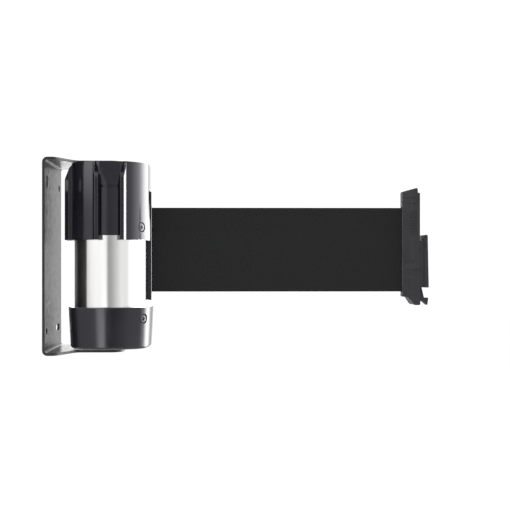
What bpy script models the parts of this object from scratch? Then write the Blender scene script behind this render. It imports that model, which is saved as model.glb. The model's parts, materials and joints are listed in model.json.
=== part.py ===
"""Wall-mounted retractable belt unit: bracket, swivelling cassette, belt and belt end.

Metres, +Z up. The origin is the centre of the bracket's back face, which lies on the
wall. +X points away from the wall, along the belt. The cassette turns on a vertical
axis between the bracket's two arms, and the belt runs out of it through a slot.
"""
import math

import bmesh
import bpy
from mathutils import Matrix, Vector

MM = 0.001
GAP = 0.3 * MM                   # between pieces that touch

# The bracket, one strip of steel bent into a U.
STEEL = 1.5 * MM
PLATE_HALF_WIDTH = 25 * MM
ARM_INSIDE = 55.15 * MM          # from the centre to the inside of either arm
ARM_OUTSIDE = ARM_INSIDE + STEEL
STRAP_HALF_WIDTH = 8 * MM
AXIS_X = 36.3 * MM               # the cassette's axis, from the wall
STRAP_END = AXIS_X + STRAP_HALF_WIDTH

# The cassette's shell.
TUBE_RADIUS = 22 * MM
TUBE_WALL = 1.2 * MM
TUBE_TOP, TUBE_BOTTOM = 50.3 * MM, -50.5 * MM
HEAD_TOP, HEAD_BOTTOM = 53.8 * MM, 9.5 * MM
HEAD_RADIUS = 24.2 * MM
HEAD_TURN = math.radians(4.3)    # the head sits slightly round from square to the belt
RECEIVER_REACH = 27 * MM         # from the axis to the face of a receiver's rails
RECEIVER_HALF_WIDTH = 9.6 * MM
SLOT_HALF_WIDTH = 6.2 * MM       # between a receiver's two rails
CHANNEL_HALF_WIDTH = 8.25 * MM   # behind them, where the tongue's plate goes
RAIL = 1.3 * MM                  # the rails' thickness
CHANNEL_DEPTH = 2.65 * MM
POCKET_DEPTH = 0.35 * MM         # the lower part of the recess is deeper by this
POCKET_TOP, POCKET_BOTTOM = 40 * MM, 12 * MM
COLLAR_TOP, COLLAR_BOTTOM = -29.3 * MM, -53.5 * MM
COLLAR_HALF_TOP, COLLAR_HALF_BOTTOM = 25 * MM, 23.8 * MM
COLLAR_CORNER = 14 * MM
SHELL_SCREW_ANGLE = math.radians(36)     # from the belt's direction
HEAD_SCREW_Z, COLLAR_SCREW_Z = 17 * MM, -36 * MM

# The belt and the spool that holds it.
BELT_LOW, BELT_HIGH = -21.0 * MM, 29.4 * MM
BELT_THICKNESS = 0.6 * MM
BELT_START = AXIS_X + 19.2 * MM
CLIP_X = AXIS_X + 174.8 * MM     # where the belt goes into the belt end
ROLL_RADIUS = 18.5 * MM
HUB_RADIUS = 7.2 * MM
FLANGE_RADIUS = 19.9 * MM
SHAFT_RADIUS = 3 * MM

# The belt end.
CLIP_HALF_THICKNESS = 6.5 * MM
CLIP_EDGE_HALF = 1.6 * MM        # it thins to this at the belt's side
COVER_FACE_Y = 2.6 * MM          # where the rear cover meets the main moulding
TONGUE_HALF_WIDTH = 7.4 * MM
NECK_HALF_WIDTH = 5.5 * MM
PIVOT_X, PIVOT_Z = CLIP_X + 8.4 * MM, -11.5 * MM
LEVER_HALF_WIDTH = 2.5 * MM
SPRING_Z = -23.7 * MM
COVER_SCREW_Z = 33.8 * MM

BLACK_STEEL = ("black_steel", (0.03, 0.03, 0.032), 0.35, 0.2)
BLACK_PLASTIC = ("black_plastic", (0.018, 0.018, 0.02), 0.2, 0.0)
GREY_PLASTIC = ("grey_plastic", (0.25, 0.25, 0.26), 0.5, 0.0)
POLISHED = ("polished_tube", (0.82, 0.82, 0.83), 0.12, 1.0)
PLAIN_STEEL = ("plain_steel", (0.55, 0.55, 0.56), 0.35, 1.0)
BRASS = ("brass", (0.72, 0.55, 0.25), 0.35, 1.0)
WEBBING = ("webbing", (0.018, 0.018, 0.02), 0.9, 0.0)
BELT_END_PLASTIC = ("belt_end_plastic", (0.03, 0.03, 0.034), 0.5, 0.0)
FELT = ("felt", (0.35, 0.33, 0.3), 0.95, 0.0)


# ---- The scene, its collections and materials --------------------------------------

def clear_scene():
    for thing in list(bpy.data.objects):
        bpy.data.objects.remove(thing, do_unlink=True)


def new_collection(name):
    group = bpy.data.collections.new(name)
    bpy.context.scene.collection.children.link(group)
    return group


def material(name, colour, roughness, metallic):
    made = bpy.data.materials.get(name)
    if made:
        return made
    made = bpy.data.materials.new(name)
    made.use_nodes = True
    shader = made.node_tree.nodes["Principled BSDF"]
    shader.inputs["Base Color"].default_value = (*colour, 1)
    shader.inputs["Roughness"].default_value = roughness
    shader.inputs["Metallic"].default_value = metallic
    return made


clear_scene()
PARTS = new_collection("retractable_belt_unit")
CUTTERS = new_collection("cutters")


def finish(piece, name, look, smooth=30):
    """Names a piece, gives it its material and shading, and puts it with the parts."""
    piece.name = name
    piece.data.name = name
    piece.data.materials.clear()
    piece.data.materials.append(material(*look))
    for group in list(piece.users_collection):
        group.objects.unlink(piece)
    PARTS.objects.link(piece)
    piece.data.shade_smooth()
    piece.data.set_sharp_from_angle(angle=math.radians(smooth))
    return piece


def as_cutter(piece):
    for group in list(piece.users_collection):
        group.objects.unlink(piece)
    CUTTERS.objects.link(piece)
    piece.hide_render = True
    piece.display_type = "WIRE"
    return piece


def boolean(piece, other, operation):
    step = piece.modifiers.new(operation.lower(), "BOOLEAN")
    step.operation = operation
    step.object = as_cutter(other)
    return piece


def cut(piece, *others):
    for other in others:
        boolean(piece, other, "DIFFERENCE")
    return piece


def join(piece, *others):
    for other in others:
        boolean(piece, other, "UNION")
    return piece


# ---- Shapes ------------------------------------------------------------------------

def mesh_object(name, mesh_maker):
    mesh = bpy.data.meshes.new(name)
    work = bmesh.new()
    mesh_maker(work)
    work.to_mesh(mesh)
    work.free()
    piece = bpy.data.objects.new(name, mesh)
    bpy.context.scene.collection.objects.link(piece)
    return piece


def box(low, high):
    """A box between two corners, with its size in its mesh."""
    low, high = Vector(low), Vector(high)
    size, middle = high - low, (high + low) / 2
    place = Matrix.Translation(middle) @ Matrix.Diagonal((*size, 1))
    return mesh_object("box", lambda work: bmesh.ops.create_cube(work, size=1, matrix=place))


def cylinder(start, end, radius, end_radius=None, sides=24):
    """A cylinder or cone from one point to another."""
    start, end = Vector(start), Vector(end)
    way = end - start
    turn = way.to_track_quat("Z", "Y").to_matrix().to_4x4()
    place = Matrix.Translation((start + end) / 2) @ turn
    last = radius if end_radius is None else end_radius
    return mesh_object("cylinder", lambda work: bmesh.ops.create_cone(
        work, cap_ends=True, segments=sides, radius1=radius, radius2=last,
        depth=way.length, matrix=place))


def turned(profile, sides=32, closed=True, x=AXIS_X):
    """Turns a profile of (radius, height) about an upright axis at x.

    The profile runs down its outer side. A closed one is a ring with a bore, and an
    open one starts and ends on the axis.
    """
    def outline(work):
        ring = [work.verts.new((r, 0, z)) for r, z in profile]
        for a, b in zip(ring, ring[1:]):
            work.edges.new((a, b))
        if closed:
            work.edges.new((ring[-1], ring[0]))

    piece = mesh_object("turned", outline)
    piece.location = (x, 0, 0)
    screw = piece.modifiers.new("turn", "SCREW")
    screw.axis = "Z"
    screw.steps = sides
    screw.render_steps = sides
    screw.use_merge_vertices = True
    screw.merge_threshold = 1e-5
    return piece


def ring(inner, outer, low, high, sides=32):
    return turned([(inner, high), (outer, high), (outer, low), (inner, low)], sides)


def rounded(corners, steps=4):
    """The points of a closed outline whose corners, (u, v, radius), are rounded off."""
    points = []
    count = len(corners)
    for n, (u, v, radius) in enumerate(corners):
        here = Vector((u, v))
        if radius <= 0:
            points.append(here)
            continue
        before = (Vector(corners[n - 1][:2]) - here).normalized()
        after = (Vector(corners[(n + 1) % count][:2]) - here).normalized()
        half = before.angle(after) / 2
        centre = here + (before + after).normalized() * radius / math.sin(half)
        first = here + before * radius / math.tan(half) - centre
        last = here + after * radius / math.tan(half) - centre
        sweep = first.angle_signed(last)
        for step in range(steps + 1):
            angle = -sweep * step / steps
            turn = Matrix.Rotation(angle, 2)
            points.append(centre + turn @ first)
    return points


def plate(corners, low, high, plane="XY", steps=4):
    """A flat outline made thick, from low to high across its plane.

    XY outlines are thick along Z, XZ ones along Y, and YZ ones along X.
    """
    curve = bpy.data.curves.new("outline", "CURVE")
    curve.dimensions = "2D"
    curve.fill_mode = "BOTH"
    curve.extrude = (high - low) / 2
    spline = curve.splines.new("POLY")
    points = rounded(corners, steps)
    spline.points.add(len(points) - 1)
    for point, (u, v) in zip(spline.points, points):
        point.co = (u, v, 0, 1)
    spline.use_cyclic_u = True
    piece = bpy.data.objects.new("outline", curve)
    bpy.context.scene.collection.objects.link(piece)
    middle = (low + high) / 2
    if plane == "XY":
        place = Matrix.Translation((0, 0, middle))
    elif plane == "XZ":
        place = Matrix.Translation((0, middle, 0)) @ Matrix.Rotation(math.pi / 2, 4, "X")
    else:
        upright = Matrix.Rotation(math.pi / 2, 4, "Z") @ Matrix.Rotation(math.pi / 2, 4, "X")
        place = Matrix.Translation((middle, 0, 0)) @ upright
    piece.matrix_world = place
    return to_mesh(piece)


def to_mesh(piece):
    """The mesh that a curve makes, in a new object at the same place."""
    bpy.context.view_layer.update()
    ready = piece.evaluated_get(bpy.context.evaluated_depsgraph_get())
    mesh = bpy.data.meshes.new_from_object(ready)
    work = bmesh.new()
    work.from_mesh(mesh)
    bmesh.ops.remove_doubles(work, verts=work.verts, dist=1e-6)
    bmesh.ops.recalc_face_normals(work, faces=work.faces)
    work.to_mesh(mesh)
    work.free()
    made = bpy.data.objects.new("mesh", mesh)
    made.matrix_world = piece.matrix_world
    bpy.context.scene.collection.objects.link(made)
    bpy.data.objects.remove(piece)
    return made


def about_axis(angle, radius, z):
    """A point at an angle round the cassette's axis, counted from the belt's way."""
    return Vector((AXIS_X + radius * math.cos(angle), radius * math.sin(angle), z))


def turn_about_axis(piece, angle):
    """Turns a piece about the cassette's axis."""
    bpy.context.view_layer.update()
    shift = Matrix.Translation((AXIS_X, 0, 0))
    turn = shift @ Matrix.Rotation(angle, 4, "Z") @ shift.inverted()
    piece.matrix_world = turn @ piece.matrix_world


# ---- The bracket -------------------------------------------------------------------

def wall_bracket():
    outer, inner = 3 * MM, 1.5 * MM
    bracket = plate([
        (0, -ARM_OUTSIDE, outer), (STRAP_END, -ARM_OUTSIDE, 0),
        (STRAP_END, -ARM_INSIDE, 0), (STEEL, -ARM_INSIDE, inner),
        (STEEL, ARM_INSIDE, inner), (STRAP_END, ARM_INSIDE, 0),
        (STRAP_END, ARM_OUTSIDE, 0), (0, ARM_OUTSIDE, outer),
    ], -PLATE_HALF_WIDTH, PLATE_HALF_WIDTH, "XZ")
    side = PLATE_HALF_WIDTH + MM
    strap = STRAP_HALF_WIDTH
    shoulder, neck = 6.5 * MM, 17 * MM       # where each arm starts and ends narrowing
    plan = plate([
        (-MM, -side, 0), (shoulder, -side, 3 * MM), (neck, -strap, 6 * MM),
        (STRAP_END, -strap, 7.9 * MM), (STRAP_END, strap, 7.9 * MM),
        (neck, strap, 6 * MM), (shoulder, side, 3 * MM), (-MM, side, 0),
    ], -ARM_OUTSIDE - MM, ARM_OUTSIDE + MM, steps=6)
    boolean(bracket, plan, "INTERSECT")
    through = (-MM, STEEL + MM)
    for y, z, half_y, half_z in ((-18, 43, 2, 3.75), (18, 42.5, 2, 2),
                                 (-19, -43, 2, 2), (14, -43.4, 5.5, 2)):
        low_y, high_y = (y - half_y) * MM, (y + half_y) * MM
        low_z, high_z = (z - half_z) * MM, (z + half_z) * MM
        r = 1.95 * MM
        cut(bracket, plate([(low_y, low_z, r), (high_y, low_z, r), (high_y, high_z, r),
                            (low_y, high_z, r)], *through, plane="YZ"))
    for end in (1, -1):
        bottom, top = (AXIS_X, 0, end * (ARM_INSIDE - MM)), (AXIS_X, 0, end * (ARM_OUTSIDE + MM))
        cut(bracket, cylinder(bottom, top, 2.8 * MM))
        sink = (AXIS_X, 0, end * (ARM_OUTSIDE - 1.2 * MM))
        cut(bracket, cylinder(sink, (AXIS_X, 0, end * (ARM_OUTSIDE + 0.2 * MM)),
                              2.8 * MM, 4.2 * MM))
    finish(bracket, "wall_bracket", BLACK_STEEL)


def pivot_screws():
    """A countersunk screw through each arm, whose plain shank is the pivot."""
    shank, head = 2.5 * MM, 3.6 * MM
    top = ARM_OUTSIDE - 0.1 * MM
    under_head = top - 1.1 * MM
    socket, socket_depth = 1.3 * MM, 0.7 * MM
    for name, end, tip in (("upper_pivot_screw", 1, 46.6 * MM),
                           ("lower_pivot_screw", -1, 50.6 * MM)):
        profile = [(0, top - socket_depth), (socket, top - socket_depth), (socket, top),
                   (head, top), (shank, under_head), (shank, tip + 0.4 * MM),
                   (shank - 0.4 * MM, tip), (0, tip)]
        if end < 0:
            profile = [(r, -z) for r, z in reversed(profile)]
        finish(turned(profile, 20, closed=False), name, PLAIN_STEEL)


def thrust_washers():
    for name, inside in (("upper_thrust_washer", HEAD_TOP),
                         ("lower_thrust_washer", COLLAR_BOTTOM)):
        end = math.copysign(1, inside)
        near, far = inside + end * GAP, end * (ARM_INSIDE - GAP)
        finish(ring(2.8 * MM, 6.5 * MM, min(near, far), max(near, far), 24), name,
               GREY_PLASTIC)


# ---- The cassette's shell ----------------------------------------------------------

def receiver_cutters(angle):
    """The T-shaped recess of one receiver, which faces away from the axis at an angle."""
    face = RECEIVER_REACH
    behind_rails = face - RAIL
    floor = behind_rails - CHANNEL_DEPTH
    top, below = HEAD_TOP + MM, HEAD_BOTTOM - MM
    slot = box((floor, -SLOT_HALF_WIDTH, POCKET_BOTTOM), (face + MM, SLOT_HALF_WIDTH, top))
    channel = box((floor + 0.02 * MM, -CHANNEL_HALF_WIDTH, POCKET_BOTTOM + 0.02 * MM),
                  (behind_rails, CHANNEL_HALF_WIDTH, top + MM))
    pocket = box((floor - POCKET_DEPTH, -SLOT_HALF_WIDTH + 0.1 * MM, POCKET_BOTTOM + 0.04 * MM),
                 (face - MM, SLOT_HALF_WIDTH - 0.1 * MM, POCKET_TOP))
    notch = box((TUBE_RADIUS - 2 * MM, -SLOT_HALF_WIDTH + 0.05 * MM, below),
                (face + 2 * MM, SLOT_HALF_WIDTH - 0.05 * MM, POCKET_BOTTOM + MM))
    for piece in (slot, channel, pocket, notch):
        piece.matrix_world = Matrix.Translation((AXIS_X, 0, 0)) @ Matrix.Rotation(angle, 4, "Z")
        yield piece


RECEIVERS = (math.radians(-90), math.radians(90), math.radians(180))


def head_housing():
    head = turned([(0, HEAD_TOP), (HEAD_RADIUS - 0.8 * MM, HEAD_TOP),
                   (HEAD_RADIUS, HEAD_TOP - 0.8 * MM), (HEAD_RADIUS, HEAD_BOTTOM),
                   (0, HEAD_BOTTOM)], 64, closed=False)
    for angle in RECEIVERS:
        # each receiver stands out of the round wall, and its top slopes back to it
        ear = plate([
            (10 * MM, HEAD_BOTTOM + 0.01 * MM, 0), (RECEIVER_REACH, HEAD_BOTTOM + 0.01 * MM, 0),
            (RECEIVER_REACH, 44.7 * MM, 2 * MM),
            (24 * MM, 52.2 * MM, 2 * MM), (21.5 * MM, HEAD_TOP - 0.02 * MM, 0),
            (10 * MM, HEAD_TOP - 0.02 * MM, 0),
        ], -RECEIVER_HALF_WIDTH, RECEIVER_HALF_WIDTH, "XZ")
        ear.matrix_world = (Matrix.Translation((AXIS_X, 0, 0))
                            @ Matrix.Rotation(angle, 4, "Z") @ ear.matrix_world)
        join(head, ear)
    bore = TUBE_RADIUS + 0.15 * MM
    inside_top = TUBE_TOP + GAP
    cut(head, cylinder((AXIS_X, 0, HEAD_BOTTOM - MM), (AXIS_X, 0, inside_top), bore, sides=64))
    boss = cylinder((AXIS_X, 0, 44.5 * MM), (AXIS_X, 0, inside_top + MM), 7.5 * MM, sides=32)
    join(head, boss)
    cut(head, cylinder((AXIS_X, 0, 45.5 * MM), (AXIS_X, 0, HEAD_TOP + MM), 4.8 * MM))
    cut(head, cylinder((AXIS_X, 0, 44 * MM), (AXIS_X, 0, 46 * MM), 3 * MM))
    for angle in RECEIVERS:
        cut(head, *receiver_cutters(angle))
    for side in (1, -1):
        cut(head, *shell_screw_holes(side * SHELL_SCREW_ANGLE, HEAD_RADIUS, HEAD_SCREW_Z))
    finish(head, "head_housing", BLACK_PLASTIC)
    turn_about_axis(head, HEAD_TURN)
    for step in head.modifiers:
        if step.type == "BOOLEAN":
            turn_about_axis(step.object, HEAD_TURN)
    # the way out for the belt, which stays square to it
    cut(head, box((AXIS_X + 15 * MM, -5.4 * MM, HEAD_BOTTOM - 2 * MM),
                  (AXIS_X + 30 * MM, 5.4 * MM, 39.2 * MM)))


def shell_screw_holes(angle, outside, z):
    """A countersink and a clearance hole, for a screw into the tube at an angle."""
    flush, inside = outside - 1.3 * MM, 20 * MM
    yield cylinder(about_axis(angle, inside, z), about_axis(angle, outside + MM, z), 1.7 * MM)
    yield cylinder(about_axis(angle, flush, z), about_axis(angle, outside + 2 * MM, z), 2.9 * MM)


def shell_tube():
    tube = ring(TUBE_RADIUS - TUBE_WALL, TUBE_RADIUS, TUBE_BOTTOM, TUBE_TOP, 64)
    cut(tube, box((AXIS_X + 15 * MM, -5.4 * MM, -26.2 * MM), (AXIS_X + 30 * MM, 5.4 * MM, 39.2 * MM)))
    for side in (1, -1):
        for z, turn in ((HEAD_SCREW_Z, HEAD_TURN), (COLLAR_SCREW_Z, 0)):
            angle = side * SHELL_SCREW_ANGLE + turn
            cut(tube, cylinder(about_axis(angle, 18 * MM, z), about_axis(angle, 24 * MM, z), 1.7 * MM))
    finish(tube, "shell_tube", POLISHED)


def square_plan(half, corner):
    x = AXIS_X
    return [(x - half, -half, corner), (x + half, -half, corner),
            (x + half, half, corner), (x - half, half, corner)]


COLLAR_SCREW_RADIUS = 27.6 * MM


def bottom_collar():
    """The lower cap, a rounded square that narrows a little towards its closed bottom."""
    collar = plate(square_plan(COLLAR_HALF_TOP, COLLAR_CORNER), COLLAR_BOTTOM, COLLAR_TOP, steps=8)
    foot_radius = 1.5 * MM
    middle = (COLLAR_TOP + COLLAR_BOTTOM) / 2
    for vert in collar.data.vertices:
        if vert.co.z + collar.location.z < middle:
            vert.co.x = AXIS_X + (vert.co.x - AXIS_X) * COLLAR_HALF_BOTTOM / COLLAR_HALF_TOP
            vert.co.y *= COLLAR_HALF_BOTTOM / COLLAR_HALF_TOP
    work = bmesh.new()
    work.from_mesh(collar.data)
    low = [e for e in work.edges
           if all(v.co.z + collar.location.z < middle for v in e.verts)]
    bmesh.ops.bevel(work, geom=low, offset=foot_radius, segments=2, profile=0.5,
                    affect="EDGES", clamp_overlap=True)
    work.to_mesh(collar.data)
    work.free()
    bore = TUBE_RADIUS + 0.15 * MM
    floor = TUBE_BOTTOM - GAP
    cut(collar, cylinder((AXIS_X, 0, floor), (AXIS_X, 0, COLLAR_TOP + MM), bore, sides=64))
    cut(collar, cylinder((AXIS_X, 0, COLLAR_BOTTOM - MM), (AXIS_X, 0, floor + MM), 4.8 * MM))
    for side in (1, -1):
        cut(collar, *shell_screw_holes(side * SHELL_SCREW_ANGLE, COLLAR_SCREW_RADIUS,
                                       COLLAR_SCREW_Z))
    finish(collar, "bottom_collar", BLACK_PLASTIC)


def pivot_inserts():
    """The brass bushes in the head and the collar that turn on the pivot screws."""
    finish(ring(2.58 * MM, 4.5 * MM, 45.8 * MM, HEAD_TOP - 0.1 * MM, 24), "upper_pivot_insert", BRASS)
    finish(ring(2.58 * MM, 4.5 * MM, COLLAR_BOTTOM + 0.1 * MM, TUBE_BOTTOM + 0.2 * MM, 24),
           "lower_pivot_insert", BRASS)


def belt_mouth_guide():
    """The plastic frame in the tube's window, with the slot that the belt runs through."""
    low, high = -25.9 * MM, 38.9 * MM
    guide = plate([(AXIS_X + 20.7 * MM, -5.1 * MM, 0), (AXIS_X + 24.3 * MM, -5.1 * MM, 1 * MM),
                   (AXIS_X + 25.5 * MM, -2.6 * MM, 1 * MM), (AXIS_X + 25.5 * MM, 2.6 * MM, 1 * MM),
                   (AXIS_X + 24.3 * MM, 5.1 * MM, 1 * MM), (AXIS_X + 20.7 * MM, 5.1 * MM, 0)],
                  low, high)
    cut(guide, box((AXIS_X + 18 * MM, -1.2 * MM, BELT_LOW - MM),
                   (AXIS_X + 28 * MM, 1.2 * MM, BELT_HIGH + MM)))
    finish(guide, "belt_mouth_guide", BLACK_PLASTIC)


def shell_screws():
    """Short screws with flat heads, which hold the head and the collar on the tube."""
    for name, side, outside, z, turn in (
            ("head_screw_front", -1, HEAD_RADIUS, HEAD_SCREW_Z, HEAD_TURN),
            ("head_screw_rear", 1, HEAD_RADIUS, HEAD_SCREW_Z, HEAD_TURN),
            ("collar_screw_front", -1, COLLAR_SCREW_RADIUS, COLLAR_SCREW_Z, 0),
            ("collar_screw_rear", 1, COLLAR_SCREW_RADIUS, COLLAR_SCREW_Z, 0)):
        angle = side * SHELL_SCREW_ANGLE + turn
        tip, under_head, face = 20.9 * MM, outside - 1 * MM, outside + 0.1 * MM
        screw = cylinder(about_axis(angle, under_head, z), about_axis(angle, face, z),
                         2.55 * MM, 2.2 * MM)
        shank_end = about_axis(angle, under_head + 0.5 * MM, z)
        join(screw, cylinder(about_axis(angle, tip, z), shank_end, 1.35 * MM, sides=16))
        for cross in (Vector((0, 0, 1)), Vector((-math.sin(angle), math.cos(angle), 0))):
            arm = cross * 1.4 * MM
            middle = about_axis(angle, face, z)
            groove = cylinder(middle - arm, middle + arm, 0.45 * MM, sides=8)
            cut(screw, groove)
        finish(screw, name, PLAIN_STEEL)


# ---- Inside the cassette -----------------------------------------------------------

def inner_plates():
    """The two discs across the tube that hold the ends of the fixed shaft."""
    rim = TUBE_RADIUS - TUBE_WALL - 0.5 * MM
    finish(ring(3.1 * MM, rim, 34.0 * MM, 37.0 * MM), "upper_bearing_plate", GREY_PLASTIC)
    finish(ring(3.1 * MM, rim, -49.6 * MM, -46.8 * MM), "lower_bearing_plate", GREY_PLASTIC)


def centre_shaft():
    """The steel shaft that stands still, on which the spool turns."""
    finish(turned([(0, 38 * MM), (SHAFT_RADIUS - 0.4 * MM, 38 * MM), (SHAFT_RADIUS, 37.6 * MM),
                   (SHAFT_RADIUS, -49.2 * MM), (0, -49.2 * MM)], 24, closed=False),
           "centre_shaft", PLAIN_STEEL)


def spring_arbor():
    """The sleeve on the shaft that holds the power spring's inner end."""
    finish(ring(3.3 * MM, 5 * MM, -45.9 * MM, -26.2 * MM, 24), "spring_arbor", PLAIN_STEEL)


def power_spring():
    """The flat steel strip, wound up in the drum, that pulls the belt back in."""
    inner, outer, turns, per_turn = 6.4 * MM, 17.3 * MM, 5.5, 20
    curve = bpy.data.curves.new("spring", "CURVE")
    curve.dimensions = "2D"
    spline = curve.splines.new("POLY")
    count = int(turns * per_turn)
    spline.points.add(count)
    for n, point in enumerate(spline.points):
        share = n / count
        angle = 2 * math.pi * turns * share
        radius = inner + (outer - inner) * share
        point.co = (radius * math.cos(angle), radius * math.sin(angle), 0, 1)
    piece = bpy.data.objects.new("spring", curve)
    bpy.context.scene.collection.objects.link(piece)
    curve.extrude = 7.5 * MM
    piece.location = (AXIS_X, 0, -34.6 * MM)
    strip = to_mesh(piece)
    thick = strip.modifiers.new("thickness", "SOLIDIFY")
    thick.thickness = 0.35 * MM
    thick.offset = 0
    finish(strip, "power_spring", PLAIN_STEEL)


def spool():
    """Everything that turns on the shaft: hub, flanges, drum, its lid, bushes and roll."""
    hub_top, hub_bottom = 31.3 * MM, -23.2 * MM
    hub_bore = 4.4 * MM
    lower_flange_top = BELT_LOW - 0.5 * MM
    finish(turned([(hub_bore, hub_top), (5.6 * MM, hub_top), (5.6 * MM, 30 * MM),
                   (HUB_RADIUS, 30 * MM), (HUB_RADIUS, lower_flange_top),
                   (FLANGE_RADIUS, lower_flange_top), (FLANGE_RADIUS, hub_bottom),
                   (hub_bore, hub_bottom)], 40), "spool_hub", GREY_PLASTIC)
    key_slot = box((AXIS_X - 1.15 * MM, -HUB_RADIUS - MM, BELT_LOW - 0.2 * MM),
                   (AXIS_X + 1.15 * MM, -hub_bore - 0.8 * MM, BELT_HIGH + 0.2 * MM))
    cut(PARTS.objects["spool_hub"], key_slot)
    finish(ring(5.9 * MM, FLANGE_RADIUS, 30.3 * MM, 31.8 * MM, 40), "spool_upper_flange",
           GREY_PLASTIC)
    finish(ring(3.06 * MM, 4.1 * MM, 24 * MM, 31.2 * MM, 20), "upper_bush", BRASS)
    finish(ring(3.06 * MM, 4.1 * MM, -23.1 * MM, -16 * MM, 20), "lower_bush", BRASS)
    drum_top, drum_bottom, wall = -23.5 * MM, -43.8 * MM, 1.2 * MM
    drum_radius = FLANGE_RADIUS - 0.3 * MM
    finish(turned([(5.6 * MM, drum_top), (drum_radius, drum_top), (drum_radius, drum_bottom),
                   (drum_radius - wall, drum_bottom), (drum_radius - wall, drum_top - wall),
                   (5.6 * MM, drum_top - wall)], 40), "spring_drum", GREY_PLASTIC)
    finish(ring(5.6 * MM, drum_radius, drum_bottom - 1.5 * MM, drum_bottom - GAP, 40),
           "spring_drum_lid", GREY_PLASTIC)
    finish(ring(HUB_RADIUS + GAP, ROLL_RADIUS, BELT_LOW, BELT_HIGH, 48), "belt_roll", WEBBING)
    finish(cylinder((AXIS_X, -HUB_RADIUS + 1.1 * MM, BELT_LOW),
                    (AXIS_X, -HUB_RADIUS + 1.1 * MM, BELT_HIGH), 0.8 * MM, sides=12),
           "belt_locking_pin", PLAIN_STEEL)


def drag_washer():
    """The felt ring between the spool and the upper plate, which slows the belt's return."""
    finish(ring(4.5 * MM, 13 * MM, 32.1 * MM, 33.7 * MM, 28), "drag_washer", FELT)


# ---- The belt and the belt end -----------------------------------------------------

def belt_strip():
    """The belt from the roll to the bar in the belt end."""
    finish(box((BELT_START, -BELT_THICKNESS / 2, BELT_LOW),
               (CLIP_X + 2.2 * MM, BELT_THICKNESS / 2, BELT_HIGH)), "belt_strip", WEBBING)


def clip_x(mm):
    """A distance from the axis on the belt end's outline, as an X."""
    return AXIS_X + mm * MM


def clip_outline(first_x=174.8):
    """The belt end's outline in XZ, without its tongue."""
    return [
        (clip_x(first_x), -24.1 * MM, 0.4 * MM), (clip_x(177.4), -24.1 * MM, 1 * MM),
        (clip_x(181.0), -28.9 * MM, 1 * MM), (clip_x(184.4), -28.9 * MM, 0.8 * MM),
        (clip_x(184.2), -18.4 * MM, 0), (clip_x(184.2), 37.9 * MM, 0.5 * MM),
        (clip_x(182.9), 38.1 * MM, 0.2 * MM), (clip_x(182.7), 40.4 * MM, 0.7 * MM),
        (clip_x(first_x), 38.4 * MM, 0.4 * MM),
    ]


def wedge_plan(near, far):
    """The belt end's plan in XY: thin at the belt's side, thick at the tongue's."""
    thin, thick = CLIP_EDGE_HALF, CLIP_HALF_THICKNESS
    outline = []
    if near < 0:
        outline += [(clip_x(174.8), -thin, 0.5 * MM), (clip_x(179.5), -thick + MM, 4 * MM),
                    (clip_x(184.6), -thick, 0)]
    else:
        outline += [(clip_x(174.8), near, 0), (clip_x(184.6), near, 0)]
    if far > thick - MM:
        outline += [(clip_x(184.6), thick, 0), (clip_x(179.5), thick - MM, 4 * MM),
                    (clip_x(174.8), max(thin, near + 0.6 * MM), 0)]
    else:
        outline += [(clip_x(184.6), far, 0), (clip_x(174.8), far, 0)]
    return outline


def lever_bay():
    """The space in the main moulding where the latch lever swings, and its spring's nook."""
    half = LEVER_HALF_WIDTH + 0.35 * MM
    yield box((clip_x(180.75), -half, -31 * MM), (clip_x(192), half, PIVOT_Z + 2.7 * MM))
    yield box((clip_x(178.8), -1.8 * MM, SPRING_Z - 1.6 * MM),
              (clip_x(181), 1.8 * MM, SPRING_Z + 1.6 * MM))


def clip_body():
    """The main moulding, with the tongue that drops into another unit's receiver."""
    thick = CLIP_HALF_THICKNESS
    body = plate(clip_outline(), -thick, thick, "XZ")
    boolean(body, plate(wedge_plan(-thick, thick), -32 * MM, 44 * MM), "INTERSECT")
    # the rear half is left off, where the cover goes, except at the tongue's wall
    cut(body, box((clip_x(170), COVER_FACE_Y, -34 * MM), (clip_x(181.2), 12 * MM, 46 * MM)))
    # the room for the bar and the belt that goes round it
    cut(body, box((clip_x(174), -0.9 * MM, BELT_LOW - 0.6 * MM),
                  (clip_x(178), 1.0 * MM, BELT_HIGH + 0.6 * MM)))
    cut(body, box((clip_x(176.8), -2.2 * MM, BELT_LOW - 0.6 * MM),
                  (clip_x(181.4), COVER_FACE_Y + MM, BELT_HIGH + 0.6 * MM)))
    neck = box((clip_x(183.6), -NECK_HALF_WIDTH, -18.4 * MM), (clip_x(187.2), NECK_HALF_WIDTH, 9.8 * MM))
    tongue = plate([(clip_x(186.5), -18.4 * MM, 0), (clip_x(189.1), -18.4 * MM, 0.3 * MM),
                    (clip_x(188.5), 13 * MM, 0.8 * MM), (clip_x(186.6), 13 * MM, 1 * MM)],
                   -TONGUE_HALF_WIDTH, TONGUE_HALF_WIDTH, "XZ")
    join(body, neck, tongue)
    cut(body, *lever_bay())
    cut(body, cylinder((PIVOT_X, -4.4 * MM, PIVOT_Z), (PIVOT_X, 9 * MM, PIVOT_Z), 1.15 * MM, sides=16))
    middle = clip_x(178.8)
    cut(body, cylinder((middle, -2 * MM, COVER_SCREW_Z), (middle, 5 * MM, COVER_SCREW_Z),
                       1.1 * MM, sides=12))
    finish(body, "clip_body", BELT_END_PLASTIC)


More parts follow.
